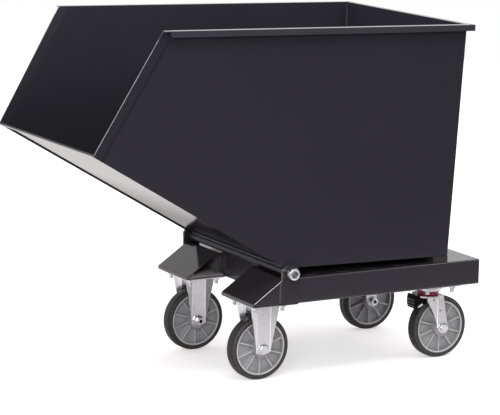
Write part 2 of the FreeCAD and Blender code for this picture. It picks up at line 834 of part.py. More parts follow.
def make_swivel_heads():
    """The fixed half of a swivel caster: plate with its race, dust ring and king pin."""
    head_frame = placing("swivel_x", "-half_track", "plate_under")
    plate = new_body("SwivelPlate")
    caster_plate(plate, "0")
    pad(plate, circle(sketch_on(plate, "XY_Plane"), "head_diameter"), "head_height", "back")
    round_edges(plate, "head_round", [("0", "head_diameter / 2", "-head_height")])
    pad(plate, circle(sketch_on(plate, "XY_Plane"), "head_neck_diameter"),
        "head_height + dust_ring_height + face_gap", "back")
    pocket(plate, circle(sketch_on(plate, "XY_Plane"), "king_pin_diameter + 2 * seat_gap"))
    plate_holes(plate, "0", "0")
    place(plate, head_frame)
    pair(plate, "swivel_plate")

    dust_ring = ring("DustRing", "dust_ring_diameter", "head_neck_diameter + 2 * running_gap",
                     "dust_ring_height")
    place(dust_ring, placing("swivel_x", "-half_track", "ring_top - dust_ring_height"))
    both_sides("dust_rings", [dust_ring])

    pin = new_body("KingPin")
    crown_under = "(wheel_radius + crown_top - crown_sheet - plate_under)"
    pad(pin, circle(sketch_on(pin, "XY_Plane", f"{crown_under} - face_gap"), "king_pin_diameter"),
        f"plate_sheet + face_gap - {crown_under}")
    pad(pin, circle(sketch_on(pin, "XY_Plane", f"{crown_under} - face_gap"), "king_head_diameter"),
        "king_head_height", "back")
    place(pin, head_frame)
    both_sides("king_pins", [pin])


def make_swivel_forks():
    """A round crown with two legs that trail behind it and narrow to the axle."""
    fork = new_body("SwivelFork")
    crown_under = "crown_top - crown_sheet"
    pad(fork, circle(sketch_on(fork, "XY_Plane", crown_under), "crown_diameter", "-swivel_trail"),
        "crown_sheet")
    folded_leg(fork, [("-leg_fold", "-leg_front", "leg_wing_bend"), ("0", "leg_foot_rear", "0")],
               "-fork_foot_drop", "crown_top + fork_foot_drop")
    low = "-fork_foot_drop - cut_overrun"
    pocket(fork, outline(sketch_on(fork, "XZ_Plane"), [
        ("-leg_front", crown_under),
        ("leg_nose_rake - leg_front", f"{crown_under} - leg_nose"),
        ("-leg_foot_front", "fork_foot_corner - fork_foot_drop"),
        ("fork_foot_corner - leg_foot_front", "-fork_foot_drop"),
        ("fork_foot_corner - leg_foot_front", low),
        ("-leg_front - cut_overrun", low),
        ("-leg_front - cut_overrun", crown_under),
    ], {1: "leg_curve"}))
    pocket(fork, outline(sketch_on(fork, "XZ_Plane"), [
        ("-leg_rear", "crown_top + cut_overrun"),
        ("-leg_rear", crown_under),
        ("leg_foot_rear", "fork_foot_corner - fork_foot_drop"),
        ("leg_foot_rear - fork_foot_corner", "-fork_foot_drop"),
        ("leg_foot_rear - fork_foot_corner", low),
        ("leg_foot_rear + cut_overrun", low),
        ("leg_foot_rear + cut_overrun", "crown_top + cut_overrun"),
    ]))
    pocket(fork, circle(sketch_on(fork, "XY_Plane", "crown_top"), "king_pin_diameter + 2 * running_gap",
                        "-swivel_trail"), "2 * crown_sheet")
    pin_holes = circle(sketch_on(fork, "XZ_Plane"), "axle_diameter + 2 * seat_gap")
    circle(pin_holes, "pedal_pin_diameter + 2 * seat_gap", "-pedal_pivot_front", "pedal_pivot_height")
    circle(pin_holes, "rivet_hole_diameter", "-rivet_hole_front", "rivet_hole_height - crown_sheet")
    pocket(fork, pin_holes)
    place(fork, placing("rear_axle_x", "-half_track", "wheel_radius"))
    pair(fork, "swivel_fork")

    pedal_frame = placing("rear_axle_x - pedal_pivot_front", "-half_track",
                          "wheel_radius + pedal_pivot_height")
    pin = new_body("PedalPin")
    wing = "(pedal_pivot_front - leg_fold) * tan(leg_wing_bend)"
    pad(pin, circle(sketch_on(pin, "XZ_Plane"), "pedal_pin_diameter"), f"2 * (fork_half + {wing})", "both")
    place(pin, pedal_frame)
    pair(pin, "pedal_pin")

    pedal = new_body("BrakePedal")
    pad(pedal, outline(sketch_on(pedal, "XZ_Plane"),
                       [(f"{x} * pedal_length", f"{z} * pedal_height") for x, z in PEDAL_SHARES]),
        "pedal_width", "both")
    pocket(pedal, circle(sketch_on(pedal, "XZ_Plane"), "pedal_pin_diameter + 2 * running_gap"))
    place(pedal, pedal_frame)
    pair(pedal, "brake_pedal")

    shoe = new_body("BrakeShoe")
    pad(shoe, outline(sketch_on(shoe, "XZ_Plane"),
                      [(f"{x} * pedal_length", f"{z} * pedal_height") for x, z in SHOE_SHARES]),
        "shoe_width", "both")
    place(shoe, pedal_frame)
    pair(shoe, "brake_shoe")


def make_axle(centre_x):
    """An axle bolt with its head outside the fork, and its nut on the inner side."""
    seat = "half_track + fork_half"
    bolt = hex_bolt("AxleBolt", "axle_across", "axle_head", "axle_diameter",
                    "2 * fork_half + axle_nut + axle_tail")
    place(bolt, placing(centre_x, f"-({seat})", "wheel_radius", ("X", "90")))
    nut = hex_nut("AxleNut", "axle_across", "axle_diameter + 2 * seat_gap", "axle_nut")
    place(nut, placing(centre_x, "fork_half - half_track", "wheel_radius", ("X", "-90")))
    return bolt, nut


def make_axles():
    front_bolt, front_nut = make_axle("axle_x")
    both_sides("front_axle_bolts", [front_bolt])
    both_sides("front_axle_nuts", [front_nut])
    rear_bolt, rear_nut = make_axle("rear_axle_x")
    pair(rear_bolt, "rear_axle_bolt")
    pair(rear_nut, "rear_axle_nut")


def make_caster_fixings():
    """Bolts through the mounts and the caster plates, with their nuts below."""
    bolts = []
    nuts = []
    for centre_x in ("axle_x", "swivel_x"):
        for x, y in hole_places(centre_x, "-half_track"):
            bolt = hex_bolt("CasterBolt", "bolt_across", "bolt_head", "bolt_diameter",
                            "mount_sheet + plate_sheet + nut_height + bolt_tail")
            place(bolt, placing(x, y, "skirt_bottom + mount_sheet"))
            bolts.append(bolt)
            nut = hex_nut("CasterNut", "bolt_across", "bolt_diameter + 2 * seat_gap", "nut_height")
            place(nut, placing(x, y, "plate_under", ("X", "180")))
            nuts.append(nut)
    both_sides("caster_bolts", bolts)
    both_sides("caster_nuts", nuts)


def make_wheel(label, centre_x):
    wheel_frame = placing(centre_x, "-half_track", "wheel_radius")
    tyre = new_body("Tyre")
    half_tyre = "tyre_width / 2"
    revolve(tyre, box_outline(sketch_on(tyre, "YZ_Plane"), f"-{half_tyre}", "rim_radius + seat_gap",
                              half_tyre, "wheel_radius"))
    round_edges(tyre, "tyre_shoulder", [("0", f"-{half_tyre}", "wheel_radius"),
                                        ("0", half_tyre, "wheel_radius")])
    place(tyre, wheel_frame)
    pair(tyre, f"{label}_tyre")

    rim = new_body("WheelRim")
    bore = "bearing_diameter / 2 + seat_gap"
    ring_inner = "rim_radius - rim_ring"
    half_hub, half_web, half_ring = "hub_length / 2", "web_thickness / 2", "rim_width / 2"
    half_section = [(half_hub, bore), (half_hub, "hub_diameter / 2"), (half_web, "hub_diameter / 2"),
                    (half_web, ring_inner), (half_ring, ring_inner), (half_ring, "rim_radius")]
    other_half = [(f"-({across})", out) for across, out in reversed(half_section)]
    revolve(rim, outline(sketch_on(rim, "YZ_Plane"), half_section + other_half))
    rib = pad(rim, box_outline(sketch_on(rim, "XZ_Plane"), "-rib_thickness / 2",
                               "hub_diameter / 2 - weld_gap", "rib_thickness / 2",
                               f"{ring_inner} + weld_gap"), "rib_width", "both")
    ribs = rim.newObject("PartDesign::PolarPattern", "Ribs")
    ribs.Originals = [rib]
    ribs.Axis = (next(item for item in rim.Origin.OriginFeatures if item.Role == "Y_Axis"), [""])
    ribs.Angle = 360
    ribs.Occurrences = RIB_COUNT
    rim.Tip = ribs
    place(rim, wheel_frame)
    pair(rim, f"{label}_rim")

    bearing = new_body("Bearing")
    pad(bearing, circle(circle(sketch_on(bearing, "XZ_Plane"), "bearing_diameter"),
                        "axle_diameter + 2 * running_gap"), "hub_length", "both")
    place(bearing, wheel_frame)
    pair(bearing, f"{label}_bearing")


def check_document():
    """Stops if any object failed or any sub-part isn't a sound solid."""
    for item in doc.Objects:
        if {"Invalid", "Error"} & set(item.State):
            raise RuntimeError(f"{item.Label} ({item.Name}) failed: {item.State}")
    for item in subparts:
        if item.Shape.isNull() or not item.Shape.isValid() or not item.Shape.Solids:
            raise RuntimeError(f"{item.Label} has no sound solid")


make_skip_side()
make_skip_plates()
make_skip_rim()
make_pivot()
make_side_beams()
make_cross_beam("rear_beam", "frame_rear", "-1")
make_cross_beam("front_beam", "wall_front", "1")
make_deck()
make_arms()
make_rear_mounts()
make_rest_pads()
make_fixed_forks()
make_swivel_heads()
make_swivel_forks()
make_axles()
make_caster_fixings()
make_wheel("front", "axle_x")
make_wheel("rear", "rear_axle_x")

doc.recompute()
check_document()
os.makedirs("parts", exist_ok=True)
for subpart in subparts:
    subpart.Shape.exportStep(f"parts/{subpart.Label}.step")
print(f"{len(subparts)} sub-parts written")
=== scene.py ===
import bmesh
import bpy
import json
import math
from mathutils import Matrix, Vector


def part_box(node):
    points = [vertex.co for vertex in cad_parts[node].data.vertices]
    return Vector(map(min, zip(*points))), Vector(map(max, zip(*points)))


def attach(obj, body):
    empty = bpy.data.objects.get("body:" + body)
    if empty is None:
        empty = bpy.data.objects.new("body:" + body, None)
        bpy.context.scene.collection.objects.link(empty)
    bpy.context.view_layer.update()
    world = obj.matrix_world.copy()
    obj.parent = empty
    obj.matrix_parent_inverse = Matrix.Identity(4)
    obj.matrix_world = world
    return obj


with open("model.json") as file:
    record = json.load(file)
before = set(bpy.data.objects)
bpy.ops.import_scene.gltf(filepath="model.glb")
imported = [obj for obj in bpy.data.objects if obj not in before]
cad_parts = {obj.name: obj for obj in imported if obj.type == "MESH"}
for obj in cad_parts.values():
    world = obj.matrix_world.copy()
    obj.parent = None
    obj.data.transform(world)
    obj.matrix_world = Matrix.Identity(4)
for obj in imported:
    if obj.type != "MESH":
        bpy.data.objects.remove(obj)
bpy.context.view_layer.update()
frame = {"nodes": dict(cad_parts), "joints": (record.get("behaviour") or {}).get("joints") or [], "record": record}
nodes = frame["nodes"]
joints = {joint["name"]: joint for joint in frame["joints"]}
skip_nodes = frame["record"]["behaviour"]["bodies"]["skip"]
front_axle = Vector(joints["left_front_wheel_roll"]["pos_m"])
rear_axle = Vector(joints["left_rear_wheel_roll"]["pos_m"])
pivot = Vector(joints["skip_tip"]["pos_m"])

# All lengths are in metres and all turns in degrees, unless a comment says otherwise
SIDES = (("left", -1.0), ("right", 1.0))
AHEAD = Vector((-1.0, 0.0, 0.0))
UP = Vector((0.0, 0.0, 1.0))
ACROSS = Vector((0.0, 1.0, 0.0))
FULL_TURN = 2.0 * math.pi  # in radians

# Camera fitted to the photograph
CAMERA_PLACE = (-2.9321, -5.1578, 1.5226)
CAMERA_YAW = 29.718
CAMERA_PITCH = -10.765
CAMERA_ROLL = 1.13
CAMERA_REACH = 100.0
LENS_MM = 174.02
SENSOR_MM = 36.0


class Field:
    """A value that varies over a surface; sums and products on it add Math nodes."""

    def __init__(self, owner, socket):
        self.owner = owner
        self.socket = socket

    def _math(self, operation, first, second):
        return self.owner.node("ShaderNodeMath", {"operation": operation}, {0: first, 1: second})

    def __add__(self, other):
        return self._math("ADD", self, other)

    def __sub__(self, other):
        return self._math("SUBTRACT", self, other)

    def __rsub__(self, other):
        return self._math("SUBTRACT", other, self)

    def __mul__(self, other):
        return self._math("MULTIPLY", self, other)

    def __truediv__(self, other):
        return self._math("DIVIDE", self, other)


class Nodes:
    """A node tree that is written as values and expressions."""

    def __init__(self, tree):
        self.tree = tree

    def node(self, kind, settings=None, sockets=None, output=0):
        """Adds a node with its settings, then its sockets' values or links; returns one output."""
        made = self.tree.nodes.new(kind)
        for name, value in (settings or {}).items():
            setattr(made, name, value)
        for name, value in (sockets or {}).items():
            self.join(made.inputs[name], value)
        return Field(self, made.outputs[output])

    def join(self, socket, value):
        """Links a varying value to a socket, or sets a constant on it."""
        if isinstance(value, Field):
            self.tree.links.new(value.socket, socket)
        else:
            socket.default_value = value

    def band(self, value, low, high, to_low=0.0, to_high=1.0):
        """Maps low..high of a value to to_low..to_high, held at the ends."""
        return self.node("ShaderNodeMapRange", {"clamp": True}, {
            "Value": value, "From Min": low, "From Max": high, "To Min": to_low, "To Max": to_high})

    def larger(self, first, second):
        return self.node("ShaderNodeMath", {"operation": "MAXIMUM"}, {0: first, 1: second})

    def wave(self, value):
        return self.node("ShaderNodeMath", {"operation": "SINE"}, {0: value})

    def mix(self, factor, first, second):
        """A colour between two colours."""
        return self.node("ShaderNodeMix", {"data_type": "RGBA"}, {0: factor, 6: first, 7: second}, 2)

    def axis(self, vector, name):
        """One part of a vector."""
        return self.node("ShaderNodeSeparateXYZ", None, {0: vector}, name)

    def size_of(self, value):
        """A value without its sign."""
        return self.larger(value, 0.0 - value)

    def ray(self, *kinds):
        """One where the ray is of one of these kinds."""
        found = self.node("ShaderNodeLightPath", None, None, kinds[0])
        for kind in kinds[1:]:
            found = self.larger(found, self.node("ShaderNodeLightPath", None, None, kind))
        return found


# Depths of the grain that roughens a surface, and the part of a noise's range that holds most of it
GRAIN = 0.0004
FINE_GRAIN = 0.0003
COARSE_GRAIN = 0.0006
NOISE_LOW = 0.3
NOISE_HIGH = 0.7


class Surface(Nodes):
    """A material with one Principled shader."""

    def __init__(self, name, constants):
        self.material = bpy.data.materials.new(name)
        self.material.use_nodes = True
        super().__init__(self.material.node_tree)
        self.shader = next(n for n in self.tree.nodes if n.type == "BSDF_PRINCIPLED")
        for socket, value in constants.items():
            self.shader.inputs[socket].default_value = value
        self.place = self.node("ShaderNodeTexCoord", None, None, "Object")

    def feed(self, socket, value):
        """Feeds a varying value to the shader."""
        self.join(self.shader.inputs[socket], value)

    def noise(self, scale, detail=3.0, roughness=0.55, place=None):
        """A cloudy pattern: its patches per metre, its finer layers, and how strong those are."""
        return self.node("ShaderNodeTexNoise", None, {
            "Vector": place or self.place, "Scale": scale, "Detail": detail, "Roughness": roughness})

    def spread(self, noise, to_low=0.0, to_high=1.0):
        """Spreads most of a noise's range between two values."""
        return self.band(noise, NOISE_LOW, NOISE_HIGH, to_low, to_high)

    def vector(self, operation, first, second):
        return self.node("ShaderNodeVectorMath", {"operation": operation}, {0: first, 1: second})

    def stretched(self, x, y, z):
        """Object coordinates scaled apart along the three axes."""
        return self.vector("MULTIPLY", self.place, (x, y, z))

    def along(self, name):
        """One object coordinate."""
        return self.axis(self.place, name)

    def turned(self, name):
        """How far a face looks along one axis."""
        return self.axis(self.node("ShaderNodeNewGeometry", None, None, "Normal"), name)

    def axle_distance(self, centre):
        """Distance from an axle that runs across the trolley."""
        flat = self.vector("MULTIPLY", self.vector("SUBTRACT", self.place, centre), (1.0, 0.0, 1.0))
        return self.node("ShaderNodeVectorMath", {"operation": "LENGTH"}, {0: flat}, "Value")

    def bump(self, height, strength, depth=GRAIN):
        return self.node("ShaderNodeBump", None, {
            "Height": height, "Strength": strength, "Distance": depth})


def rgb(r, g, b):
    return (r, g, b, 1.0)


def shade(colour, share):
    """The same colour, darker or lighter."""
    return rgb(*[part * share for part in colour[:3]])


# Tones of the coats, and the refraction of hard and of dull surfaces
SKIP_TONE = rgb(0.0243, 0.0232, 0.0294)
FRAME_TONE = rgb(0.0290, 0.0273, 0.0330)
ARM_TONE = rgb(0.0335, 0.0273, 0.0318)
HARD_IOR = 1.5
DULL_IOR = 1.45
GLOSS_SPREAD = 0.02
# Painted shade: faces that look up are darker, and so are the skip's inside faces below a height
TOP_SHADE_FROM, TOP_SHADE_FULL = 0.4, 0.75
FACING_IN_FULL, FACING_IN_FROM = -0.2, -0.1
INSIDE_SHADE_FROM = 0.75
INSIDE_SHADE_FULL = 0.60
# Painted reflection: the chute's clear coat weakens from the lip to the root, darkening its reflection there; by
# place along the trolley
GLOSS_FULL = -0.36
GLOSS_DIMMED = -0.16
FULL_COAT = 0.80
DIMMED_COAT = 0.43
# The painted light inside an arm, by distance from the trolley's middle plane
RECESS_MOUTH = 0.118
RECESS_DEEP = 0.165
# Tyres, by distance from the axle
TYRE_RING_PITCH = 0.0042
TREAD_BAND_PITCH = 0.0117
TREAD_BELOW = 0.0765
TREAD_FROM = 0.0785
# Rolled grain of sheet metal, and the faces of a fork that look at its wheel, which get painted light
ROLLED = (1.0, 1.0, 0.12)
FACING_WHEEL_FULL, FACING_WHEEL_FROM = -0.02, -0.01


def powder_coat(s, tone):
    """The clouding of a powder coat, its colour and the dust on it."""
    dust = s.noise(60.0, 6.0, 0.7)
    clouding = s.band(s.noise(3.5, 4.0) + dust * 0.25, 0.4, 0.85)
    return clouding, s.mix(clouding, shade(tone, 0.94), shade(tone, 1.07)), dust


def make_paint(name, tone, gloss=0.105, ior=HARD_IOR, painted_top_shade=1.0, painted_inside_share=1.0):
    """Anthracite powder coat: a deep tone under a smooth gloss, with a slight orange peel and dust."""
    s = Surface(name, {"IOR": ior})
    clouding, colour, dust = powder_coat(s, tone)
    # Painted shade: faces that look up take a darker copy of the coat
    if painted_top_shade < 1.0:
        upward_shade = s.mix(clouding, shade(tone, 0.9 * painted_top_shade), shade(tone, 1.1 * painted_top_shade))
        colour = s.mix(s.band(s.turned("Z"), TOP_SHADE_FROM, TOP_SHADE_FULL), colour, upward_shade)
    # Painted shade: faces inside the skip below a height take a darker copy of the coat
    if painted_inside_share < 1.0:
        facing_in = s.band(s.along("Y") * s.turned("Y"), FACING_IN_FULL, FACING_IN_FROM, 1.0, 0.0)
        low = s.band(s.along("Z"), INSIDE_SHADE_FROM, INSIDE_SHADE_FULL)
        colour = s.mix(facing_in * low, colour, shade(tone, painted_inside_share))
    s.feed("Base Color", colour)
    s.feed("Roughness", s.band(dust, 0.3, 0.75, gloss - GLOSS_SPREAD, gloss + GLOSS_SPREAD))
    s.feed("Normal", s.bump(s.noise(240.0, 1.5), 0.05))
    return s.material


def make_chute_paint(tone):
    """The same coat on the chute, with a painted reflection: its clear coat weakens from the lip down to the root.
    """
    s = Surface("chute_paint", {"Specular IOR Level": 0.0, "Coat IOR": HARD_IOR, "Coat Roughness": 0.09})
    _, colour, dust = powder_coat(s, tone)
    s.feed("Base Color", colour)
    s.feed("Roughness", s.band(dust, 0.3, 0.75, 0.4, 0.5))
    s.feed("Coat Weight", s.band(s.along("X"), GLOSS_FULL, GLOSS_DIMMED, FULL_COAT, DIMMED_COAT))
    return s.material


def make_clouded(name, ior, cloud, tones, rough, grit, strength, depth=GRAIN):
    """A surface whose tone and gloss follow one clouding, under a fine grit."""
    s = Surface(name, {"IOR": ior})
    clouding = s.noise(*cloud)
    s.feed("Base Color", s.mix(s.spread(clouding), *tones))
    s.feed("Roughness", s.spread(clouding, *rough))
    s.feed("Normal", s.bump(s.noise(*grit), strength, depth))
    return s.material


def make_coat_highlight(name, tone):
    """A much lighter, clouded coat for edges: a painted highlight."""
    return make_clouded(name, HARD_IOR, (45.0, 5.0, 0.65), (shade(tone, 0.6), shade(tone, 1.4)),
                        (0.2, 0.32), (700.0, 2.0), 0.05, FINE_GRAIN)


def make_zinc(name, bright, rough, painted_inside_share=1.0):
    """Bright zinc plating over pressed steel, with a faint rolled grain and clouding.

    With an inside share, the faces of a front fork that look at its wheel are brighter: painted light.
    """
    s = Surface(name, {"Metallic": 1.0})
    cloud = s.noise(38.0, 5.0, 0.6)
    grain = s.noise(260.0, 3.0, 0.6, s.stretched(*ROLLED))
    tone = rgb(bright, bright * 1.012, bright * 1.035)
    colour = s.mix(s.band(cloud, 0.3, 0.72), shade(tone, 0.975), shade(tone, 1.025))
    # Painted light: faces of the fork that look at its wheel are brighter
    if painted_inside_share > 1.0:
        off_middle = s.size_of(s.along("Y"))
        turned_out = s.along("Y") * s.turned("Y") / off_middle
        facing_wheel = s.band((off_middle - abs(front_axle.y)) * turned_out,
                              FACING_WHEEL_FULL, FACING_WHEEL_FROM, 1.0, 0.0)
        colour = s.mix(facing_wheel, colour, shade(tone, painted_inside_share))
    s.feed("Base Color", colour)
    s.feed("Roughness", s.band(cloud + grain * 0.5, 0.5, 1.0, rough - GLOSS_SPREAD, rough + GLOSS_SPREAD))
    s.feed("Normal", s.bump(grain, 0.012))
    return s.material


def make_plate_light():
    """Painted light: a light grey coat, clouded and gritty, on the plates inside the arms."""
    return make_clouded("plate_light_coat", DULL_IOR, (55.0, 5.0, 0.65),
                        (rgb(0.41, 0.39, 0.40), rgb(0.48, 0.46, 0.47)), (0.5, 0.65), (500.0,), 0.08)


def make_recess_light():
    """Painted light: an uneven coat on the front beam's face inside the arms, lighter the deeper it lies."""
    s = Surface("recess_light_coat", {"IOR": HARD_IOR})
    wobble = s.noise(26.0, 5.0, 0.7)
    deep = s.band(s.size_of(s.along("Y")) + wobble * 0.01, RECESS_MOUTH, RECESS_DEEP)
    s.feed("Base Color", s.mix(deep, rgb(0.055, 0.053, 0.058), rgb(0.34, 0.33, 0.34)))
    s.feed("Roughness", s.spread(wobble, 0.4, 0.55))
    s.feed("Normal", s.bump(s.noise(420.0), 0.1))
    return s.material


def make_dark_steel(name, bright):
    """Dark steel of the rivets and of the cups deep in the bolt sockets, as painted shade."""
    s = Surface(name, {"Metallic": 1.0})
    smear = s.noise(400.0, 3.0)
    tone = rgb(bright, bright, bright * 1.03)
    s.feed("Base Color", s.mix(smear, shade(tone, 0.75), shade(tone, 1.25)))
    s.feed("Roughness", s.spread(smear, 0.35, 0.5))
    s.feed("Normal", s.bump(smear, 0.1, FINE_GRAIN))
    return s.material


def make_grey_plastic():
    """Moulded mid-grey nylon of the wheel centres."""
    return make_clouded("grey_plastic", HARD_IOR, (30.0, 4.0),
                        (rgb(0.245, 0.245, 0.255), rgb(0.30, 0.30, 0.31)), (0.36, 0.46), (900.0, 2.0), 0.08)


def make_highlight_plastic(name, tone):
    """Paler plastic for edges, rib tops, ring lips and pedal grips, as painted highlights."""
    return make_clouded(name, HARD_IOR, (60.0, 4.0), (shade(tone, 0.85), shade(tone, 1.1)),
                        (0.3, 0.4), (900.0, 2.0), 0.06, FINE_GRAIN)


def make_tyre_rubber(name, centre):
    """Dark grey solid rubber with moulding rings round the axle, a darker tread and a dusty bloom."""
    s = Surface(name, {"IOR": DULL_IOR})
    bloom = s.noise(24.0, 5.0, 0.65)
    grit = s.noise(1100.0, 3.0)
    out = s.axle_distance(centre)
    rings = s.wave(out * (FULL_TURN / TYRE_RING_PITCH))
    off_middle = s.size_of(s.along("Y")) - abs(centre.y)
    bands = s.wave(off_middle * (FULL_TURN / TREAD_BAND_PITCH))
    tone = s.band(bloom + rings * 0.06 + bands * 0.3, 0.15, 0.95)
    tread = s.mix(tone, rgb(0.004, 0.0035, 0.0034), rgb(0.015, 0.0138, 0.0135))
    side = s.mix(tone, rgb(0.012, 0.0108, 0.0106), rgb(0.042, 0.039, 0.0383))
    s.feed("Base Color", s.mix(s.band(out, TREAD_BELOW, TREAD_FROM), side, tread))
    s.feed("Roughness", s.spread(bloom, 0.5, 0.66))
    s.feed("Normal", s.bump(grit * 0.4 + rings, 0.16))
    return s.material


def make_black_plastic():
    """Black moulding of the brake pedals, with hardly any shine."""
    s = Surface("black_plastic", {"IOR": 1.15})
    grit = s.noise(800.0, 3.0)
    s.feed("Base Color", s.mix(s.noise(40.0), rgb(0.002, 0.002, 0.0022), rgb(0.0045, 0.0045, 0.0048)))
    s.feed("Roughness", s.spread(grit, 0.42, 0.54))
    s.feed("Normal", s.bump(grit, 0.12))
    return s.material


def make_red_plastic():
    """Dark red ring that keeps dust out of the swivel race."""
    s = Surface("red_plastic", {"IOR": HARD_IOR})
    cloud = s.noise(60.0, 3.0)
    s.feed("Base Color", s.mix(cloud, rgb(0.34, 0.018, 0.06), rgb(0.44, 0.030, 0.08)))
    s.feed("Roughness", s.spread(cloud, 0.34, 0.46))
    s.feed("Normal", s.bump(s.noise(700.0), 0.06))
    return s.material


def make_pad_rubber():
    """Black rubber of the rest pads, a little brown with age."""
    s = Surface("pad_rubber", {"IOR": DULL_IOR})
    grit = s.noise(700.0, 4.0, 0.7)
    s.feed("Base Color", s.mix(s.noise(50.0), rgb(0.011, 0.009, 0.009), rgb(0.018, 0.0145, 0.0145)))
    s.feed("Roughness", s.spread(grit, 0.6, 0.75))
    s.feed("Normal", s.bump(grit, 0.2, COARSE_GRAIN))
    return s.material


skip_paint = make_paint("skip_paint", SKIP_TONE, painted_inside_share=0.68)
chute_paint = make_chute_paint(shade(SKIP_TONE, 0.6))
# Painted shade: a darker, duller copy of the skip's coat for the crease line
crease_shade_paint = make_paint("crease_shade_paint", shade(SKIP_TONE, 0.55), 0.6, 1.22)
# Painted light: the rim takes a copy of the skip's coat 1.6 times lighter
rim_lit_paint = make_paint("rim_lit_paint", shade(SKIP_TONE, 1.6))
# Painted shade: the pivot tube takes a duller copy of the skip's coat, half as light
tube_shade_paint = make_paint("tube_shade_paint", shade(SKIP_TONE, 0.5), 0.36, 1.3)
# A duller copy of the skip's coat for its inside corner beads, 1.3 times lighter as a painted highlight
corner_highlight_paint = make_paint("corner_highlight_paint", shade(SKIP_TONE, 1.3), 0.55, 1.3)
frame_paint = make_paint("frame_paint", FRAME_TONE)
arm_paint = make_paint("arm_paint", ARM_TONE, painted_top_shade=0.55)
bead_paint = make_paint("bead_paint", shade(FRAME_TONE, 1.1), 0.24)
# Painted highlights: much lighter coats for the bevels and for the skip sides' front edges
bevel_highlight_paint = make_coat_highlight("bevel_highlight_paint", rgb(0.115, 0.115, 0.117))
edge_highlight_paint = make_coat_highlight("edge_highlight_paint", rgb(0.25, 0.25, 0.255))
recess_light_coat = make_recess_light()
plate_light_coat = make_plate_light()
zinc_steel = make_zinc("zinc_steel", 0.57, 0.27)
fork_zinc = make_zinc("fork_zinc", 0.48, 0.27)
front_fork_lit_zinc = make_zinc("front_fork_lit_zinc", 0.57, 0.27, 1.6)
# Painted highlight: a brighter zinc for the fork fold ridges and the pivot collars
highlight_zinc = make_zinc("highlight_zinc", 0.88, 0.3)
# Painted shade: the rivets are dark steel, standing for the dark of the holes in the forks
rivet_shade_steel = make_dark_steel("rivet_shade_steel", 0.135)
socket_shade_steel = make_dark_steel("socket_shade_steel", 0.28)
grey_plastic = make_grey_plastic()
# Painted highlights: paler plastics for the moulding edges, rib tops, ring lips and pedal grips
plastic_edge_highlight = make_highlight_plastic("plastic_edge_highlight", rgb(0.57, 0.57, 0.58))
rib_top_highlight = make_highlight_plastic("rib_top_highlight", rgb(0.41, 0.41, 0.42))
ring_lip_highlight = make_highlight_plastic("ring_lip_highlight", rgb(0.50, 0.50, 0.51))
grip_highlight_plastic = make_highlight_plastic("grip_highlight_plastic", rgb(0.05, 0.05, 0.052))
front_rubber = make_tyre_rubber("front_tyre_rubber", front_axle)
rear_rubber = make_tyre_rubber("rear_tyre_rubber", rear_axle)
# Finishes of single nodes, then those of the material slots other than paint and tyre rubber
own_finishes = {
    "skip_chute": chute_paint, "skip_rim": rim_lit_paint, "pivot_tube": tube_shade_paint,
    "left_arm_cover": arm_paint, "right_arm_cover": arm_paint,
    "left_swivel_fork": fork_zinc, "right_swivel_fork": fork_zinc,
    "left_front_fork": front_fork_lit_zinc, "right_front_fork": front_fork_lit_zinc,
}
finishes = {
    "zinc_steel": zinc_steel,
    "grey_plastic": grey_plastic,
    "black_plastic": make_black_plastic(),
    "red_plastic": make_red_plastic(),
    "pad_rubber": make_pad_rubber(),
}

METAL_EDGE = 0.0007
PLASTIC_EDGE = 0.0011
EDGE_STEPS = 2
EDGE_FROM = 35.0


def soften_edges(piece, width, edge_finish=None):
    """Small rounded edges, which catch the light."""
    bevel = piece.modifiers.new("soft_edges", "BEVEL")
    bevel.width = width
    bevel.segments = EDGE_STEPS
    bevel.limit_method = "ANGLE"
    bevel.angle_limit = math.radians(EDGE_FROM)
    bevel.use_clamp_overlap = True
    bevel.harden_normals = True
    if edge_finish:
        piece.data.materials.append(edge_finish)
        bevel.material = len(piece.material_slots) - 1


def finish_nodes():
    """Gives each CAD node its finish and its soft edges."""
    for subpart in frame["record"]["subparts"]:
        name = subpart["node"]
        piece = nodes[name]
        slot_name = subpart["material_slot"]
        painted = slot_name == "anthracite_paint"
        if name in own_finishes:
            finish = own_finishes[name]
        elif painted:
            finish = skip_paint if name in skip_nodes else frame_paint
        elif slot_name == "tyre_rubber":
            finish = front_rubber if "front" in name else rear_rubber
        else:
            finish = finishes[slot_name]
        for slot in piece.material_slots:
            slot.material = finish
        # Painted highlights: the bevels of grey plastic, and of painted nodes other than the chute, take much
        # paler finishes
        if slot_name == "grey_plastic":
            soften_edges(piece, PLASTIC_EDGE, plastic_edge_highlight)
        else:
            soften_edges(piece, METAL_EDGE, bevel_highlight_paint if painted and name != "skip_chute" else None)


# Edges flatter than these are shaded smooth
SMOOTH = 40.0
BEAD_SMOOTH = 60.0
MOULD_SMOOTH = 50.0
HEX_SMOOTH = 20.0
TURN_STEPS = 40


def turns(count):
    """Even turns round a circle, in radians."""
    return [FULL_TURN * k / count for k in range(count)]


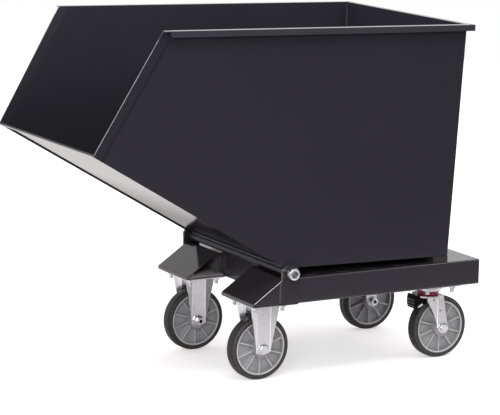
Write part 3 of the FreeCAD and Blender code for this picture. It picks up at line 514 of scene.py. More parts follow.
class Shape:
    """Collects the points and faces of one piece, as closed shells."""

    def __init__(self):
        self.points = []
        self.faces = []

    def skin(self, rings):
        """Joins a row of closed rings, each of as many points, and closes the two ends."""
        first, count = len(self.points), len(rings[0])
        for ring in rings:
            self.points.extend(ring)
        for row in range(len(rings) - 1):
            for k in range(count):
                a = first + row * count + k
                b = first + row * count + (k + 1) % count
                self.faces.append((a, b, b + count, a + count))
        last = first + (len(rings) - 1) * count
        self.faces.append(tuple(first + k for k in reversed(range(count))))
        self.faces.append(tuple(last + k for k in range(count)))

    def loop(self, rings):
        """Joins closed rings round in a circle, the last to the first."""
        first, count = len(self.points), len(rings[0])
        for ring in rings:
            self.points.extend(ring)
        for row in range(len(rings)):
            here, there = (first + count * (step % len(rings)) for step in (row, row + 1))
            for k in range(count):
                after = (k + 1) % count
                self.faces.append((here + k, here + after, there + after, there + k))

    def turn(self, profile, centre, axis, count=TURN_STEPS):
        """Turns a profile of (distance along the axis, radius) about an axis."""
        axis = Vector(axis).normalized()
        side = axis.orthogonal().normalized()
        other = axis.cross(side)
        spokes = [side * math.cos(t) + other * math.sin(t) for t in turns(count)]
        self.skin([[Vector(centre) + axis * along + spoke * radius for spoke in spokes]
                   for along, radius in profile])

    def make(self, name, finish, body, slot, smooth_below=SMOOTH):
        """Makes the piece, with faces that look outward; it moves with a body and takes a finish."""
        mesh = bpy.data.meshes.new(name)
        mesh.from_pydata([tuple(p) for p in self.points], [], self.faces)
        shells = bmesh.new()
        shells.from_mesh(mesh)
        bmesh.ops.recalc_face_normals(shells, faces=shells.faces)
        shells.to_mesh(mesh)
        shells.free()
        mesh.materials.append(finish)
        mesh.shade_smooth()
        mesh.set_sharp_from_angle(angle=math.radians(smooth_below))
        piece = bpy.data.objects.new(name, mesh)
        bpy.context.scene.collection.objects.link(piece)
        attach(piece, body)


def corner(node, *ways):
    """The point of a node that lies furthest along the sum of some directions; a short one settles ties."""
    way = sum((Vector(w) for w in ways), Vector())
    return max((v.co for v in nodes[node].data.vertices), key=way.dot).copy()


def reach(node):
    """How near to the trolley's middle plane the ends of a node's box come, and how far out."""
    low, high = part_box(node)
    return min(abs(low.y), abs(high.y)), max(abs(low.y), abs(high.y))


def trimmed(start, end, first, last):
    """The ends of a run, less a share of it at each end."""
    return start.lerp(end, first), end.lerp(start, last)


CORNER_STEPS = 4


def rounded_corners(x0, y0, x1, y1, radius, z):
    """A rectangle with round corners, as one ring of points."""
    ring = []
    for cx, cy, first in ((x1, y1, 0.0), (x0, y1, 90.0), (x0, y0, 180.0), (x1, y0, 270.0)):
        ox = cx - math.copysign(radius, cx - (x0 + x1) / 2.0)
        oy = cy - math.copysign(radius, cy - (y0 + y1) / 2.0)
        for k in range(CORNER_STEPS + 1):
            t = math.radians(first + 90.0 * k / CORNER_STEPS)
            ring.append(Vector((ox + radius * math.cos(t), oy + radius * math.sin(t), z)))
    return ring


# Weld beads: rippled along their length, as sections of shares of two leg directions
FILLET_SHARES = ((-0.1, -0.1), (1.0, -0.06), (0.74, 0.36), (0.57, 0.57), (0.36, 0.74), (-0.06, 1.0))
FLAT_SHARES = ((0.0, -0.3), (0.5, -0.3), (0.5, 0.0), (0.29, 0.75), (0.0, 1.0), (-0.29, 0.75), (-0.5, 0.0),
               (-0.5, -0.3))
RIPPLE_PITCH = 0.0034
RIPPLE_STEPS = 3
RIPPLE_DEPTH = 0.13
FEWEST_STEPS = 6
# Each wander is a share of the bead's size, a rate in radians per metre and a start in radians
WANDERS = ((0.05, 410.0, 0.0), (0.04, 173.0, 1.0))
TAPER_START = 0.45
TAPER_LEGS = 1.5


def lay_bead(shape, start, end, leg, other_leg, section=FILLET_SHARES):
    """Adds a run of weld from start to end, between two leg directions of full length."""
    start, end, leg, other_leg = (Vector(v) for v in (start, end, leg, other_leg))
    length = (end - start).length
    steps = max(FEWEST_STEPS, round(length / RIPPLE_PITCH) * RIPPLE_STEPS)
    rings = []
    for step in range(steps + 1):
        along = length * step / steps
        crest = (step % RIPPLE_STEPS) / RIPPLE_STEPS
        wander = sum(share * math.sin(along * rate + begin) for share, rate, begin in WANDERS)
        taper = min(1.0, TAPER_START + min(along, length - along) / (TAPER_LEGS * leg.length))
        scale = (1.0 - RIPPLE_DEPTH * crest + wander) * taper
        middle = start.lerp(end, step / steps)
        rings.append([middle + leg * (a * scale) + other_leg * (b * scale) for a, b in section])
    shape.skin(rings)


def stitches(start, end, count, length):
    """Evenly spaced short runs between two points."""
    start, end = Vector(start), Vector(end)
    whole = (end - start).length
    half = length / 2.0 / whole
    for k in range(count):
        middle = (k + 0.5) / count
        yield start.lerp(end, middle - half), start.lerp(end, middle + half)


# A ridge swells and fades along its length: shares of the length and of the full section
RIDGE_RUN = ((0.0, 0.35), (0.01, 0.8), (0.03, 1.0), (0.5, 1.0), (0.97, 1.0), (0.99, 0.8), (1.0, 0.35))
RIDGE_POINTS = 12


def lay_ridge(shape, foot, top, out, half_width, height):
    """A narrow rounded ridge along a fold or an edge."""
    foot, top = Vector(foot), Vector(top)
    side = (top - foot).normalized().cross(out)
    section = [side * (math.cos(t) * half_width) + out * (math.sin(t) * height)
               for t in turns(RIDGE_POINTS)]
    shape.skin([[foot.lerp(top, share) + point * swell for point in section] for share, swell in RIDGE_RUN])


EAR_BEAD = 0.0042
SEAM_WIDTH = 0.0055
SEAM_HEIGHT = 0.0011
SKIP_BEAD = 0.0032
EDGE_INSET = 0.004
ARM_BEAD_Y = 0.128
DECK_STITCHES = 5
STITCH_LENGTH = 0.035


def weld_chassis():
    """Beads at the pivot ears, the arms, the rear corners and the deck."""
    shape = Shape()
    beam_low, beam_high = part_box("rear_beam")
    deck_low, deck_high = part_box("deck_plate")
    skip_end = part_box("skip_floor")[1].x
    for side, sign in SIDES:
        low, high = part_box(f"{side}_pivot_ear")
        face = high.y if sign < 0.0 else low.y
        top_of_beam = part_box(f"{side}_side_beam")[1].z
        for x, way in ((low.x, AHEAD), (high.x, -AHEAD)):
            lay_bead(shape, (x, face, low.z + EDGE_INSET), (x, face, top_of_beam - 2.5 * EDGE_INSET),
                     way * EAR_BEAD, ACROSS * (sign * EAR_BEAD))
        # The arm's top joins the front beam
        arm_low, arm_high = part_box(f"{side}_arm_cover")
        inner = min(arm_low.y, arm_high.y, key=abs)
        outer = max(arm_low.y, arm_high.y, key=abs)
        lay_bead(shape, (arm_high.x, inner + sign * EDGE_INSET, arm_high.z),
                 (arm_high.x, outer - sign * EDGE_INSET, arm_high.z),
                 AHEAD * SEAM_WIDTH, UP * SEAM_HEIGHT, FLAT_SHARES)
        # A bead down the front beam, inside the arm
        bead_y = sign * ARM_BEAD_Y
        lay_bead(shape, (arm_high.x, bead_y, arm_low.z + 2.0 * EDGE_INSET),
                 (arm_high.x, bead_y, arm_high.z - 3.0 * EDGE_INSET),
                 ACROSS * SEAM_WIDTH, AHEAD * 2.0 * SEAM_HEIGHT, FLAT_SHARES)
        # Rear corners, where the cross beam meets the side beam
        edge_y = beam_high.y * sign
        lay_bead(shape, (beam_high.x, edge_y, beam_low.z + 2.0 * EDGE_INSET),
                 (beam_high.x, edge_y, beam_high.z - 2.0 * EDGE_INSET),
                 ACROSS * SEAM_WIDTH, -AHEAD * SEAM_HEIGHT, FLAT_SHARES)
        # The deck is stitched to the side beams
        deck_y = deck_high.y * sign
        for start, end in stitches((deck_low.x, deck_y, deck_high.z), (skip_end, deck_y, deck_high.z),
                                   DECK_STITCHES, STITCH_LENGTH):
            lay_bead(shape, start, end, ACROSS * SEAM_WIDTH, UP * SEAM_HEIGHT, FLAT_SHARES)
    shape.make("chassis_weld_beads", bead_paint, "chassis", "anthracite_paint", BEAD_SMOOTH)


# Shares left off the ends of the skip's seams
CHUTE_SEAM_START = 0.04
INSIDE_CORNER_TRIM = (0.006, 0.012)
BACK_CORNER_TRIM = (0.005, 0.03)
BEND_TRIM = (0.01, 0.01)
# Seams across the rim's mitred rear corners, narrower and flatter than the others
MITRE_START = 0.002
MITRE_END = 0.018
MITRE_WIDTH = 0.6
MITRE_HEIGHT = 0.5
# Seams beside the line where the pivot tube touches the floor, in shares of the tube's radius or length
TUBE_ASIDE = 0.42
TUBE_SINK = 0.03
TUBE_LEG_ASIDE = 0.62
TUBE_LEG_DOWN = 0.78
TUBE_SHARE = 0.97


def weld_skip():
    """Beads along the skip's seams; those inside its upright corners are a piece of their own."""
    shape, corners = Shape(), Shape()
    slope = corner("skip_chute", -AHEAD, UP, ACROSS) - corner("skip_chute", AHEAD, UP, ACROSS)
    slope.y = 0.0
    slope.normalize()
    chute_up = Vector((-slope.z, 0.0, slope.x))
    floor_way = corner("skip_floor", -AHEAD, UP, ACROSS) - corner("skip_floor", AHEAD, UP, ACROSS)
    floor_way.normalize()
    floor_up = Vector((-floor_way.z, 0.0, floor_way.x))
    for _, sign in SIDES:
        out = ACROSS * sign
        lean = corner("skip_rear_wall", UP, out) - corner("skip_rear_wall", -UP, out)
        lean.x = 0.0
        lean.normalize()
        floor_front = corner("skip_floor", AHEAD, UP, out)
        floor_rear = corner("skip_floor", -AHEAD, UP, out)
        lay_bead(shape, floor_front, floor_rear, -out * SKIP_BEAD, lean * SKIP_BEAD)
        chute_root = corner("skip_chute", slope, chute_up, out)
        chute_lip = corner("skip_chute", -slope, 4.0 * chute_up, out)
        lay_bead(shape, chute_lip.lerp(chute_root, CHUTE_SEAM_START), chute_root,
                 -out * SKIP_BEAD, chute_up * SKIP_BEAD)
        wall_low = corner("skip_rear_wall", AHEAD, -UP, out)
        wall_high = corner("skip_rear_wall", AHEAD, UP, out)
        lay_bead(corners, *trimmed(wall_low, wall_high, *INSIDE_CORNER_TRIM),
                 -out * SKIP_BEAD, AHEAD * SKIP_BEAD)
        back_low = corner("skip_rear_wall", -AHEAD, -UP, out)
        back_high = corner("skip_rear_wall", -AHEAD, UP, out)
        lay_bead(shape, *trimmed(back_low, back_high, *BACK_CORNER_TRIM),
                 ACROSS * SEAM_WIDTH, -AHEAD * SEAM_HEIGHT, FLAT_SHARES)
        # Mitred rear corners of the rim
        rim_corner = corner("skip_rim", -AHEAD, out, 0.05 * UP)
        mitre = (AHEAD - out).normalized()
        along = Vector((-mitre.y, mitre.x, 0.0))
        lay_bead(shape, rim_corner + mitre * MITRE_START, rim_corner + mitre * MITRE_END,
                 along * SEAM_WIDTH * MITRE_WIDTH, UP * SEAM_HEIGHT * MITRE_HEIGHT, FLAT_SHARES)
    floor_left, floor_right = (corner("skip_floor", -AHEAD, UP, ACROSS * sign) for _, sign in SIDES)
    lay_bead(shape, floor_left, floor_right, AHEAD * SKIP_BEAD, floor_up * SKIP_BEAD)
    bend_left, bend_right = (corner("skip_floor", AHEAD, UP, ACROSS * sign) for _, sign in SIDES)
    lay_bead(shape, *trimmed(bend_left, bend_right, *BEND_TRIM),
             AHEAD * SEAM_WIDTH, floor_up * SEAM_HEIGHT, FLAT_SHARES)
    # The pivot tube is welded to the underside of the floor on both sides
    tube_low, tube_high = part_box("pivot_tube")
    radius = (tube_high.z - tube_low.z) / 2.0
    touch = (tube_low + tube_high) / 2.0 + floor_up * radius
    for way in (1.0, -1.0):
        foot = touch + floor_way * (way * radius * TUBE_ASIDE) - floor_up * (radius * TUBE_SINK)
        down = floor_way * (way * TUBE_LEG_ASIDE) - floor_up * TUBE_LEG_DOWN
        ends = [foot + ACROSS * (tube_high.y * share) for share in (-TUBE_SHARE, TUBE_SHARE)]
        lay_bead(shape, *ends, floor_way * (way * SKIP_BEAD), down * SKIP_BEAD)
    shape.make("skip_weld_beads", bead_paint, "skip", "anthracite_paint", BEAD_SMOOTH)
    corners.make("skip_corner_beads", corner_highlight_paint, "skip", "anthracite_paint", BEAD_SMOOTH)


# Lines along the sides' front edges, between shares of the way from the lip to the top
# Painted highlight: the line along the front edge is a much lighter coat
EDGE_HIGHLIGHT_RUN = (0.005, 0.94)
EDGE_HIGHLIGHT_HALF_WIDTH = 0.0009
EDGE_HIGHLIGHT_HEIGHT = 0.0004
# Painted shade: the crease is a dark line that stands for its shadow
CREASE_RUN = (-0.05, 0.93)
CREASE_BEHIND = 0.030
CREASE_HALF_WIDTH = 0.0013
CREASE_HEIGHT = 0.00012


def line_skip_sides():
    """A painted highlight along the front edge of each side of the skip, and a dark line of painted shade along
    the pressed crease behind it.
    """
    for side, sign in SIDES:
        node = f"{side}_skip_side"
        out = ACROSS * sign
        lip = corner(node, AHEAD, 0.2 * out)
        top = corner(node, UP, 0.5 * AHEAD, 0.2 * out)
        rise = top - lip
        face_up = Vector((0.0, rise.y, rise.z)).normalized()
        face_out = AHEAD.cross(face_up) * sign
        edges = Shape()
        lay_ridge(edges, *(lip.lerp(top, share) for share in EDGE_HIGHLIGHT_RUN),
                  face_out, EDGE_HIGHLIGHT_HALF_WIDTH, EDGE_HIGHLIGHT_HEIGHT)
        edges.make(f"{side}_rubbed_edge", edge_highlight_paint, "skip", "anthracite_paint")
        creases = Shape()
        lay_ridge(creases, *(lip.lerp(top, share) - AHEAD * CREASE_BEHIND for share in CREASE_RUN),
                  face_out, CREASE_HALF_WIDTH, CREASE_HEIGHT)
        creases.make(f"{side}_front_crease", crease_shade_paint, "skip", "anthracite_paint")


STIFFENER_SHARE = 0.5
STIFFENER_SHEET = 0.003
STIFFENER_CLEAR = 0.003
STIFFENER_ROUND = 0.0006
# Shares of the floor's length, and of the stiffener's depth there
STIFFENER_RUN = ((0.05, 0.3), (0.06, 1.0), (0.5, 1.0), (0.89, 1.0), (0.9, 0.3))


def add_stiffeners():
    """Flat bars along the underside of the skip's floor, clear of the deck below."""
    deck_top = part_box("deck_plate")[1].z
    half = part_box("skip_floor")[1].y
    front = corner("skip_floor", AHEAD, -UP, ACROSS)
    rear = corner("skip_floor", -AHEAD, -UP, ACROSS)
    wide, narrow = STIFFENER_SHEET / 2.0, STIFFENER_SHEET / 4.0
    for side, sign in SIDES:
        y = half * (sign * STIFFENER_SHARE)
        shape = Shape()
        rings = []
        for share, draw in STIFFENER_RUN:
            top = front.lerp(rear, share)
            low = top.z - (top.z - deck_top - STIFFENER_CLEAR) * draw
            rings.append([Vector((top.x, y + dy, z)) for dy, z in (
                (-wide, top.z), (wide, top.z), (wide, low + STIFFENER_ROUND), (narrow, low),
                (-narrow, low), (-wide, low + STIFFENER_ROUND))])
        shape.skin(rings)
        shape.make(f"{side}_floor_stiffener", skip_paint, "skip", "anthracite_paint")


REST_BAR_CLEAR = 0.0025
REST_BAR_INSET = 0.004
REST_BAR_EDGE = 0.0006
REST_BAR_ROUND = 0.003


def add_rest_bar():
    """A box section across the deck between the two rest pads."""
    left_low, left_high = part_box("left_rest_pad")
    right_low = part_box("right_rest_pad")[0]
    x0, x1 = left_low.x + REST_BAR_INSET, left_high.x - REST_BAR_INSET
    z0, z1 = left_low.z, left_high.z - REST_BAR_CLEAR
    run = ((left_high.y, REST_BAR_EDGE), (left_high.y + REST_BAR_EDGE, 0.0), (0.0, 0.0),
           (right_low.y - REST_BAR_EDGE, 0.0), (right_low.y, REST_BAR_EDGE))
    shape = Shape()
    shape.skin([[point.xzy for point in rounded_corners(
        x0 + draw, z0 + draw, x1 - draw, z1 - draw, REST_BAR_ROUND, y)] for y, draw in run])
    shape.make("rest_bar", frame_paint, "chassis", "anthracite_paint")


# Casters: fixing holes, threads and washers
HOLE_ALONG = 0.075
HOLE_ACROSS = 0.105
THREAD_PITCH = 0.0015
THREAD_DEPTH = 0.0005
THREAD_STEPS = 24
CASTER_THREAD = 0.0052
AXLE_THREAD = 0.0062
AXLE_HEAD = 0.0075
WASHER_BORE = 0.007
WASHER_RADIUS = 0.0138
WASHER_HEIGHT = 0.0014
WASHER_EDGE = 0.0006
WASHER = ((0.0, WASHER_BORE), (0.0, WASHER_RADIUS), (WASHER_HEIGHT * 0.7, WASHER_RADIUS),
          (WASHER_HEIGHT, WASHER_RADIUS - WASHER_EDGE), (WASHER_HEIGHT, WASHER_BORE))


def threaded(length, radius):
    """A profile of ridges along a bolt's tail, ending in a small chamfer."""
    profile = [(0.0, radius - THREAD_DEPTH)]
    for k in range(int(length / THREAD_PITCH)):
        profile.append(((k + 0.5) * THREAD_PITCH, radius))
        profile.append(((k + 1.0) * THREAD_PITCH, radius - THREAD_DEPTH))
    profile.append((length, radius - 3.0 * THREAD_DEPTH))
    return profile


def dress_caster_bolts():
    """Threads on the bolt tails below the nuts."""
    shape = Shape()
    nut_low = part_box("caster_nuts")[0].z
    tail = nut_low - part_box("caster_bolts")[0].z
    for side, _ in SIDES:
        for node in (f"{side}_front_fork", f"{side}_swivel_plate"):
            low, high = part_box(node)
            middle = (low + high) / 2.0
            for along in (-0.5, 0.5):
                for across in (-0.5, 0.5):
                    place = (middle.x + along * HOLE_ALONG, middle.y + across * HOLE_ACROSS, nut_low)
                    shape.turn(threaded(tail, CASTER_THREAD), place, -UP, THREAD_STEPS)
    shape.make("caster_bolt_threads", zinc_steel, "chassis", "zinc_steel")


def dress_axles():
    """Washers under the axle heads and nuts, and threads on the tails."""
    for side, sign in SIDES:
        out = ACROSS * sign
        tail_in = reach(f"{side}_rear_axle_bolt")[0]
        nut_in = reach(f"{side}_rear_axle_nut")[0]
        for end, axle, body, nut, bolt in (
                ("front", front_axle, "chassis", "front_axle_nuts", "front_axle_bolts"),
                ("rear", rear_axle, f"{side}_swivel", f"{side}_rear_axle_nut", f"{side}_rear_axle_bolt")):
            head_seat = reach(bolt)[1] - AXLE_HEAD
            shape = Shape()
            shape.turn(WASHER, (axle.x, sign * head_seat, axle.z), out)
            shape.turn(WASHER, (axle.x, sign * reach(nut)[1], axle.z), -out)
            shape.turn(threaded(nut_in - tail_in, AXLE_THREAD), (axle.x, sign * nut_in, axle.z), -out,
                       THREAD_STEPS)
            shape.make(f"{side}_{end}_axle_washers", zinc_steel, body, "zinc_steel")


# Folds of the fixed and the swivel forks, by distance from the axle; the ridges stop short of a fork's ends
FOLD_FRONT = 0.019
FOLD_REAR = 0.018
FOLD_HALF_WIDTH = 0.0014
FOLD_HEIGHT = 0.0005
FOLD_TOP = 0.005
FRONT_FOLD_FOOT = 0.003
REAR_FOLD_FOOT = 0.012
# Rivets, by distance along the trolley from the axle and height above the ground
RIVET_PLACES = ((-0.030, 0.1515), (-0.040, 0.1500), (-0.0103, 0.1263))
RIVET = ((-0.0005, 0.0024), (0.0004, 0.0023), (0.0009, 0.0014), (0.001, 0.0004))
RIVET_STEPS = 16


def dress_forks():
    """Ridges along the forks' folds in a brighter zinc, as painted highlights, and dark rivets on the swivel
    forks, as painted shade.
    """
    for side, sign in SIDES:
        out = ACROSS * sign
        face = reach(f"{side}_rear_axle_bolt")[1] - AXLE_HEAD
        inner = 2.0 * abs(front_axle.y) - face
        legs = ((sign * face, out), (sign * inner, -out))
        shape = Shape()
        low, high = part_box(f"{side}_front_fork")
        for x in (front_axle.x - FOLD_FRONT, front_axle.x + FOLD_FRONT):
            for y, way in legs:
                lay_ridge(shape, (x, y, low.z + FRONT_FOLD_FOOT), (x, y, high.z - FOLD_TOP), way,
                          FOLD_HALF_WIDTH, FOLD_HEIGHT)
        shape.make(f"{side}_front_fork_folds", highlight_zinc, "chassis", "zinc_steel")
        shape, rivets = Shape(), Shape()
        low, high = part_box(f"{side}_swivel_fork")
        x = rear_axle.x - FOLD_REAR
        for y, way in legs:
            lay_ridge(shape, (x, y, low.z + REAR_FOLD_FOOT), (x, y, high.z - FOLD_TOP), way,
                      FOLD_HALF_WIDTH, FOLD_HEIGHT)
            for dx, z in RIVET_PLACES:
                rivets.turn(RIVET, (rear_axle.x + dx, y, z), way, RIVET_STEPS)
        shape.make(f"{side}_swivel_fork_folds", highlight_zinc, f"{side}_swivel", "zinc_steel")
        rivets.make(f"{side}_swivel_fork_rivets", rivet_shade_steel, f"{side}_swivel", "zinc_steel")


# Ribs of the wheel centres, as sections of (across the rib, out from the wheel's middle)
RIB_COUNT = 10
RIB_ROOT = 0.0215
RIB_END = 0.0634
RIB_FLANK = ((-0.0068, 0.0037), (-0.0042, 0.0052), (-0.0030, 0.0082), (-0.0024, 0.0117), (-0.0018, 0.0122),
             (0.0018, 0.0122), (0.0024, 0.0117), (0.0030, 0.0082), (0.0042, 0.0052), (0.0068, 0.0037))
RIB_CAP = ((-0.0016, 0.0120), (-0.0014, 0.0124), (-0.0006, 0.0125), (0.0006, 0.0125), (0.0014, 0.0124),
           (0.0016, 0.0120))
# Lip of the ring round them, as a section of (radius, out from the wheel's middle)
RING_LIP = ((0.0634, 0.0151), (0.0641, 0.0158), (0.0655, 0.0161), (0.0669, 0.0158), (0.0676, 0.0151))
RING_STEPS = 72


def dress_wheels():
    """Moulded flanks on the ribs of the wheel centres, with paler tops, and a paler lip on their rings; the paler
    parts are painted highlights.
    """
    rib_parts = (("flanks", RIB_FLANK, grey_plastic), ("tops", RIB_CAP, rib_top_highlight))
    for side, sign in SIDES:
        for end, axle in (("front", front_axle), ("rear", rear_axle)):
            centre = Vector((axle.x, abs(axle.y) * sign, axle.z))
            body = f"{side}_{end}_wheel"
            for part, section, finish in rib_parts:
                shape = Shape()
                for t in turns(RIB_COUNT):
                    along = Vector((math.sin(t), 0.0, math.cos(t)))
                    wide = Vector((math.cos(t), 0.0, -math.sin(t)))
                    for face in (ACROSS, -ACROSS):
                        shape.skin([[centre + along * r + wide * w + face * h for w, h in section]
                                    for r in (RIB_ROOT, 0.5 * (RIB_ROOT + RIB_END), RIB_END)])
                shape.make(f"{side}_{end}_rib_{part}", finish, body, "grey_plastic", MOULD_SMOOTH)
            lips = Shape()
            spokes = [Vector((math.sin(t), 0.0, math.cos(t))) for t in turns(RING_STEPS)]
            for face in (ACROSS, -ACROSS):
                lips.loop([[centre + spoke * r + face * h for r, h in RING_LIP] for spoke in spokes])
            lips.make(f"{side}_{end}_ring_lips", ring_lip_highlight, body, "grey_plastic", MOULD_SMOOTH)


# Collar round a pivot bolt's socket, as a section of (radius, out from the head's face)
COLLAR = ((0.0089, -0.0008), (0.0089, 0.0003), (0.0095, 0.0006), (0.0117, 0.0006), (0.0126, 0.0002),
          (0.0126, -0.0008))
COLLAR_STEPS = 48
# Painted shade: the cup is a dark lining for the socket
# Cup in the socket, from its outside to its floor, as (depth, share of the socket's size)
CUP = ((0.0066, 1.0), (0.0, 1.0), (0.0, 0.955), (0.0055, 0.955), (0.0060, 0.5))
CUP_BELOW_FACE = 0.0012
CUP_GAP = 0.00015
SOCKET_ACROSS = 0.017


def dress_pivot_heads():
    """A dark cup in each hexagon socket, as painted shade, and a collar of brighter zinc round it, as a painted
    highlight.
    """
    cups, collars = Shape(), Shape()
    head_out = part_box("pivot_bolts")[1].y
    hexagon = [math.radians(30.0 + 60.0 * k) for k in range(6)]
    radius = SOCKET_ACROSS / 2.0 / math.cos(math.radians(30.0)) - CUP_GAP
    for _, sign in SIDES:
        out = ACROSS * sign
        face = Vector((pivot.x, head_out * sign, pivot.z))
        mouth = face - out * CUP_BELOW_FACE
        cups.skin([[mouth - out * depth + Vector((math.cos(t), 0.0, math.sin(t))) * (radius * share)
                    for t in hexagon] for depth, share in CUP])
        collars.loop([[face + Vector((math.cos(t), 0.0, math.sin(t))) * r + out * h for r, h in COLLAR]
                      for t in turns(COLLAR_STEPS)])
    cups.make("pivot_socket_cups", socket_shade_steel, "skip", "zinc_steel", HEX_SMOOTH)
    collars.make("pivot_head_collars", highlight_zinc, "skip", "zinc_steel")


# Sizes of the arm's cover that the painted highlight line follows
ARM_NOSE = 0.008
ARM_FLAT = 0.0299
ARM_BEND = 0.003
ARM_HIGHLIGHT_RUN = (0.035, 0.975)
ARM_HIGHLIGHT_HALF_WIDTH = 0.0006
ARM_HIGHLIGHT_HEIGHT = 0.00025


def highlight_arm_bends():
    """A line of zinc along the outer bend of each arm's slope, as a painted highlight."""
    for side, sign in SIDES:
        low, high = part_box(f"{side}_arm_cover")
        edge_y = high.y if sign > 0.0 else low.y
        nose = Vector((low.x, edge_y, low.z + ARM_NOSE))
        top = Vector((high.x - ARM_FLAT, edge_y, high.z))
        way = (top - nose).normalized()
        slope_up = Vector((-way.z, 0.0, way.x))
        out = (slope_up + ACROSS * sign).normalized()
        sink = out * (ARM_BEND * (math.sqrt(2.0) - 1.0))
        shape = Shape()
        lay_ridge(shape, *(nose.lerp(top, share) - sink for share in ARM_HIGHLIGHT_RUN), out,
                  ARM_HIGHLIGHT_HALF_WIDTH, ARM_HIGHLIGHT_HEIGHT)
        shape.make(f"{side}_arm_bend_highlight", zinc_steel, "chassis", "anthracite_paint")


BACKING_INSET = 0.003
BACKING_SHEET = 0.0014
BACKING_SINK = 0.0002
BACKING_EDGE = 0.0004
BACKING_ROUND = 0.006


def add_backing_plates():
    """Plates under the bolt heads inside the front arms, in a light grey coat as painted light."""
    for side, _ in SIDES:
        low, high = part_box(f"{side}_arm_base")
        top = high.z + BACKING_SHEET
        x0, x1 = low.x + BACKING_INSET, high.x - BACKING_INSET
        y0, y1 = low.y + BACKING_INSET, high.y - BACKING_INSET
        levels = ((high.z - BACKING_SINK, 0.0), (top - BACKING_EDGE, 0.0), (top, BACKING_EDGE))
        shape = Shape()
        shape.skin([rounded_corners(x0 + draw, y0 + draw, x1 - draw, y1 - draw, BACKING_ROUND, z)
                    for z, draw in levels])
        shape.make(f"{side}_arm_backing_plate", plate_light_coat, "chassis", "anthracite_paint")


LINING_SHEET = 0.0006
LINING_INSET = 0.0012
LINING_TOP_INSET = 6.0 * LINING_INSET
LINING_EDGE = 0.0004
LINING_ROUND = 0.002


def line_arms():
    """A lighter coat on the front beam's face inside each arm, as painted light."""
    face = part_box("front_beam")[0].x
    half_sheet = 0.5 * LINING_SHEET
    layers = ((face + half_sheet, 0.0), (face - half_sheet, 0.0), (face - LINING_SHEET, LINING_EDGE))
    for side, _ in SIDES:
        cover_low, cover_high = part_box(f"{side}_arm_cover")
        base_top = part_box(f"{side}_arm_base")[1].z
        y0, y1 = cover_low.y + LINING_INSET, cover_high.y - LINING_INSET
        z0, z1 = base_top + LINING_INSET, cover_high.z - LINING_TOP_INSET
        shape = Shape()
        shape.skin([[point.zxy for point in rounded_corners(
            y0 + draw, z0 + draw, y1 - draw, z1 - draw, LINING_ROUND, x)] for x, draw in layers])
        shape.make(f"{side}_arm_lining", recess_light_coat, "chassis", "anthracite_paint")


GRIP_INSET = 0.004
GRIP_COUNT = 3
GRIP_DOWN = 0.013
GRIP_PITCH = 0.0075
GRIP_HALF_WIDTH = 0.0022
GRIP_HEIGHT = 0.0012


def dress_pedals():
    """Grip ribs across the toe of each pedal, in a glossier plastic that is also paler, as a painted highlight."""
    for side, _ in SIDES:
        low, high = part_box(f"{side}_brake_pedal")
        shape = Shape()
        half = (high.y - low.y) / 2.0 - GRIP_INSET
        middle_y = (low.y + high.y) / 2.0
        for k in range(GRIP_COUNT):
            z = high.z - GRIP_DOWN - k * GRIP_PITCH
            lay_ridge(shape, (low.x, middle_y - half, z), (low.x, middle_y + half, z), AHEAD,
                      GRIP_HALF_WIDTH, GRIP_HEIGHT)
        shape.make(f"{side}_pedal_grip", grip_highlight_plastic, f"{side}_pedal", "black_plastic")


def add_camera():
    yaw, pitch, roll = (math.radians(a) for a in (CAMERA_YAW, CAMERA_PITCH, CAMERA_ROLL))
    ahead = Vector((math.sin(yaw) * math.cos(pitch), math.cos(yaw) * math.cos(pitch), math.sin(pitch)))
    level = Vector((math.cos(yaw), -math.sin(yaw), 0.0))
    above = level.cross(ahead)
    right = level * math.cos(roll) + above * math.sin(roll)
    up = above * math.cos(roll) - level * math.sin(roll)
    data = bpy.data.cameras.new("photo_camera")
    data.sensor_fit = "HORIZONTAL"
    data.sensor_width = SENSOR_MM
    data.lens = LENS_MM
    data.clip_end = CAMERA_REACH
    camera = bpy.data.objects.new("photo_camera", data)
    bpy.context.scene.collection.objects.link(camera)
    turn = Matrix((right, up, -ahead)).transposed().to_4x4()
    camera.matrix_world = Matrix.Translation(CAMERA_PLACE) @ turn
    bpy.context.scene.camera = camera


WHITE = rgb(1.0, 1.0, 1.0)
BLACK = rgb(0.0, 0.0, 0.0)
# Light of the walls and of the room's darker side, and where the walls begin, as parts of a direction
WALL_LIGHT = rgb(1.15, 1.15, 1.16)
ROOM_LIGHT = rgb(0.10, 0.10, 0.105)
BEHIND_FROM, BEHIND_FULL = -0.5, 0.0
ABOVE_FROM, ABOVE_FULL = 0.08, 0.5


def add_world():
    """White walls behind and above, and a darker room on the camera's side; the camera sees white."""
    world = bpy.data.worlds.new("studio")
    world.use_nodes = True
    bpy.context.scene.world = world
    n = Nodes(world.node_tree)
    way = n.node("ShaderNodeTexCoord", None, None, "Generated")
    white = n.larger(n.band(n.axis(way, "Y"), BEHIND_FROM, BEHIND_FULL),
                     n.band(n.axis(way, "Z"), ABOVE_FROM, ABOVE_FULL))
    mirrored = n.ray("Is Glossy Ray", "Is Transmission Ray")
    wall = n.mix(mirrored, WALL_LIGHT, WHITE)
    level = n.mix(white, ROOM_LIGHT, wall)
    room = n.node("ShaderNodeBackground", None, {"Color": level, "Strength": 1.0})
    seen = n.node("ShaderNodeBackground", None, {"Color": WHITE, "Strength": 1.0})
    shown = n.node("ShaderNodeMixShader", None, {0: n.ray("Is Camera Ray"), 1: room, 2: seen})
    n.join(n.tree.nodes["World Output"].inputs["Surface"], shown)


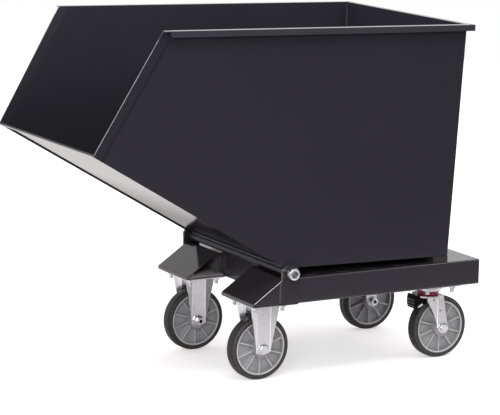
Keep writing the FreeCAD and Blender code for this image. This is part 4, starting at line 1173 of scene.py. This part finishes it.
FLOOR_LEFT, FLOOR_RIGHT = -4.0, 4.0
FLOOR_FRONT, FLOOR_BACK = -0.95, 6.0
FLOOR_TONES = (rgb(0.80, 0.775, 0.772), rgb(0.82, 0.795, 0.792))
FLOOR_MIRRORED = rgb(0.38, 0.34, 0.335)
FLOOR_GLOW = 0.42


def add_floor():
    """A white board that reaches further behind the trolley than in front of it."""
    mesh = bpy.data.meshes.new("studio_floor")
    mesh.from_pydata([(FLOOR_LEFT, FLOOR_FRONT, 0.0), (FLOOR_RIGHT, FLOOR_FRONT, 0.0),
                      (FLOOR_RIGHT, FLOOR_BACK, 0.0), (FLOOR_LEFT, FLOOR_BACK, 0.0)], [], [(0, 1, 2, 3)])
    floor = bpy.data.objects.new("studio_floor", mesh)
    bpy.context.scene.collection.objects.link(floor)
    s = Surface("studio_floor", {"Roughness": 0.9, "Emission Strength": FLOOR_GLOW})
    s.feed("Base Color", s.mix(s.noise(3.0), *FLOOR_TONES))
    mirrored = s.mix(s.ray("Is Glossy Ray", "Is Transmission Ray"), BLACK, FLOOR_MIRRORED)
    s.feed("Emission Color", s.mix(s.ray("Is Camera Ray"), mirrored, WHITE))
    mesh.materials.append(s.material)


# Name, place, width and height, and power in watts
LAMPS = (
    ("top_strip", (-0.9, -1.5, 3.0), (1.8, 0.5), 32.0),
    ("side_strip", (2.4, -1.0, 2.6), (1.2, 0.5), 12.0),
    ("front_fill", (-3.4, -4.6, 2.4), (2.0, 1.6), 150.0),
)
LAMP_TARGET = Vector((0.0, 0.0, 0.4))


def add_lamps():
    for name, place, size, power in LAMPS:
        data = bpy.data.lights.new(name, "AREA")
        data.shape = "RECTANGLE"
        data.size, data.size_y = size
        data.energy = power
        lamp = bpy.data.objects.new(name, data)
        bpy.context.scene.collection.objects.link(lamp)
        lamp.location = place
        lamp.rotation_euler = (LAMP_TARGET - Vector(place)).to_track_quat("-Z", "Y").to_euler()


finish_nodes()
weld_chassis()
weld_skip()
line_skip_sides()
add_stiffeners()
add_rest_bar()
dress_caster_bolts()
dress_axles()
dress_forks()
dress_wheels()
dress_pivot_heads()
highlight_arm_bends()
add_backing_plates()
line_arms()
dress_pedals()
add_camera()
add_world()
add_floor()
add_lamps()
bpy.context.scene.view_settings.view_transform = "Standard"
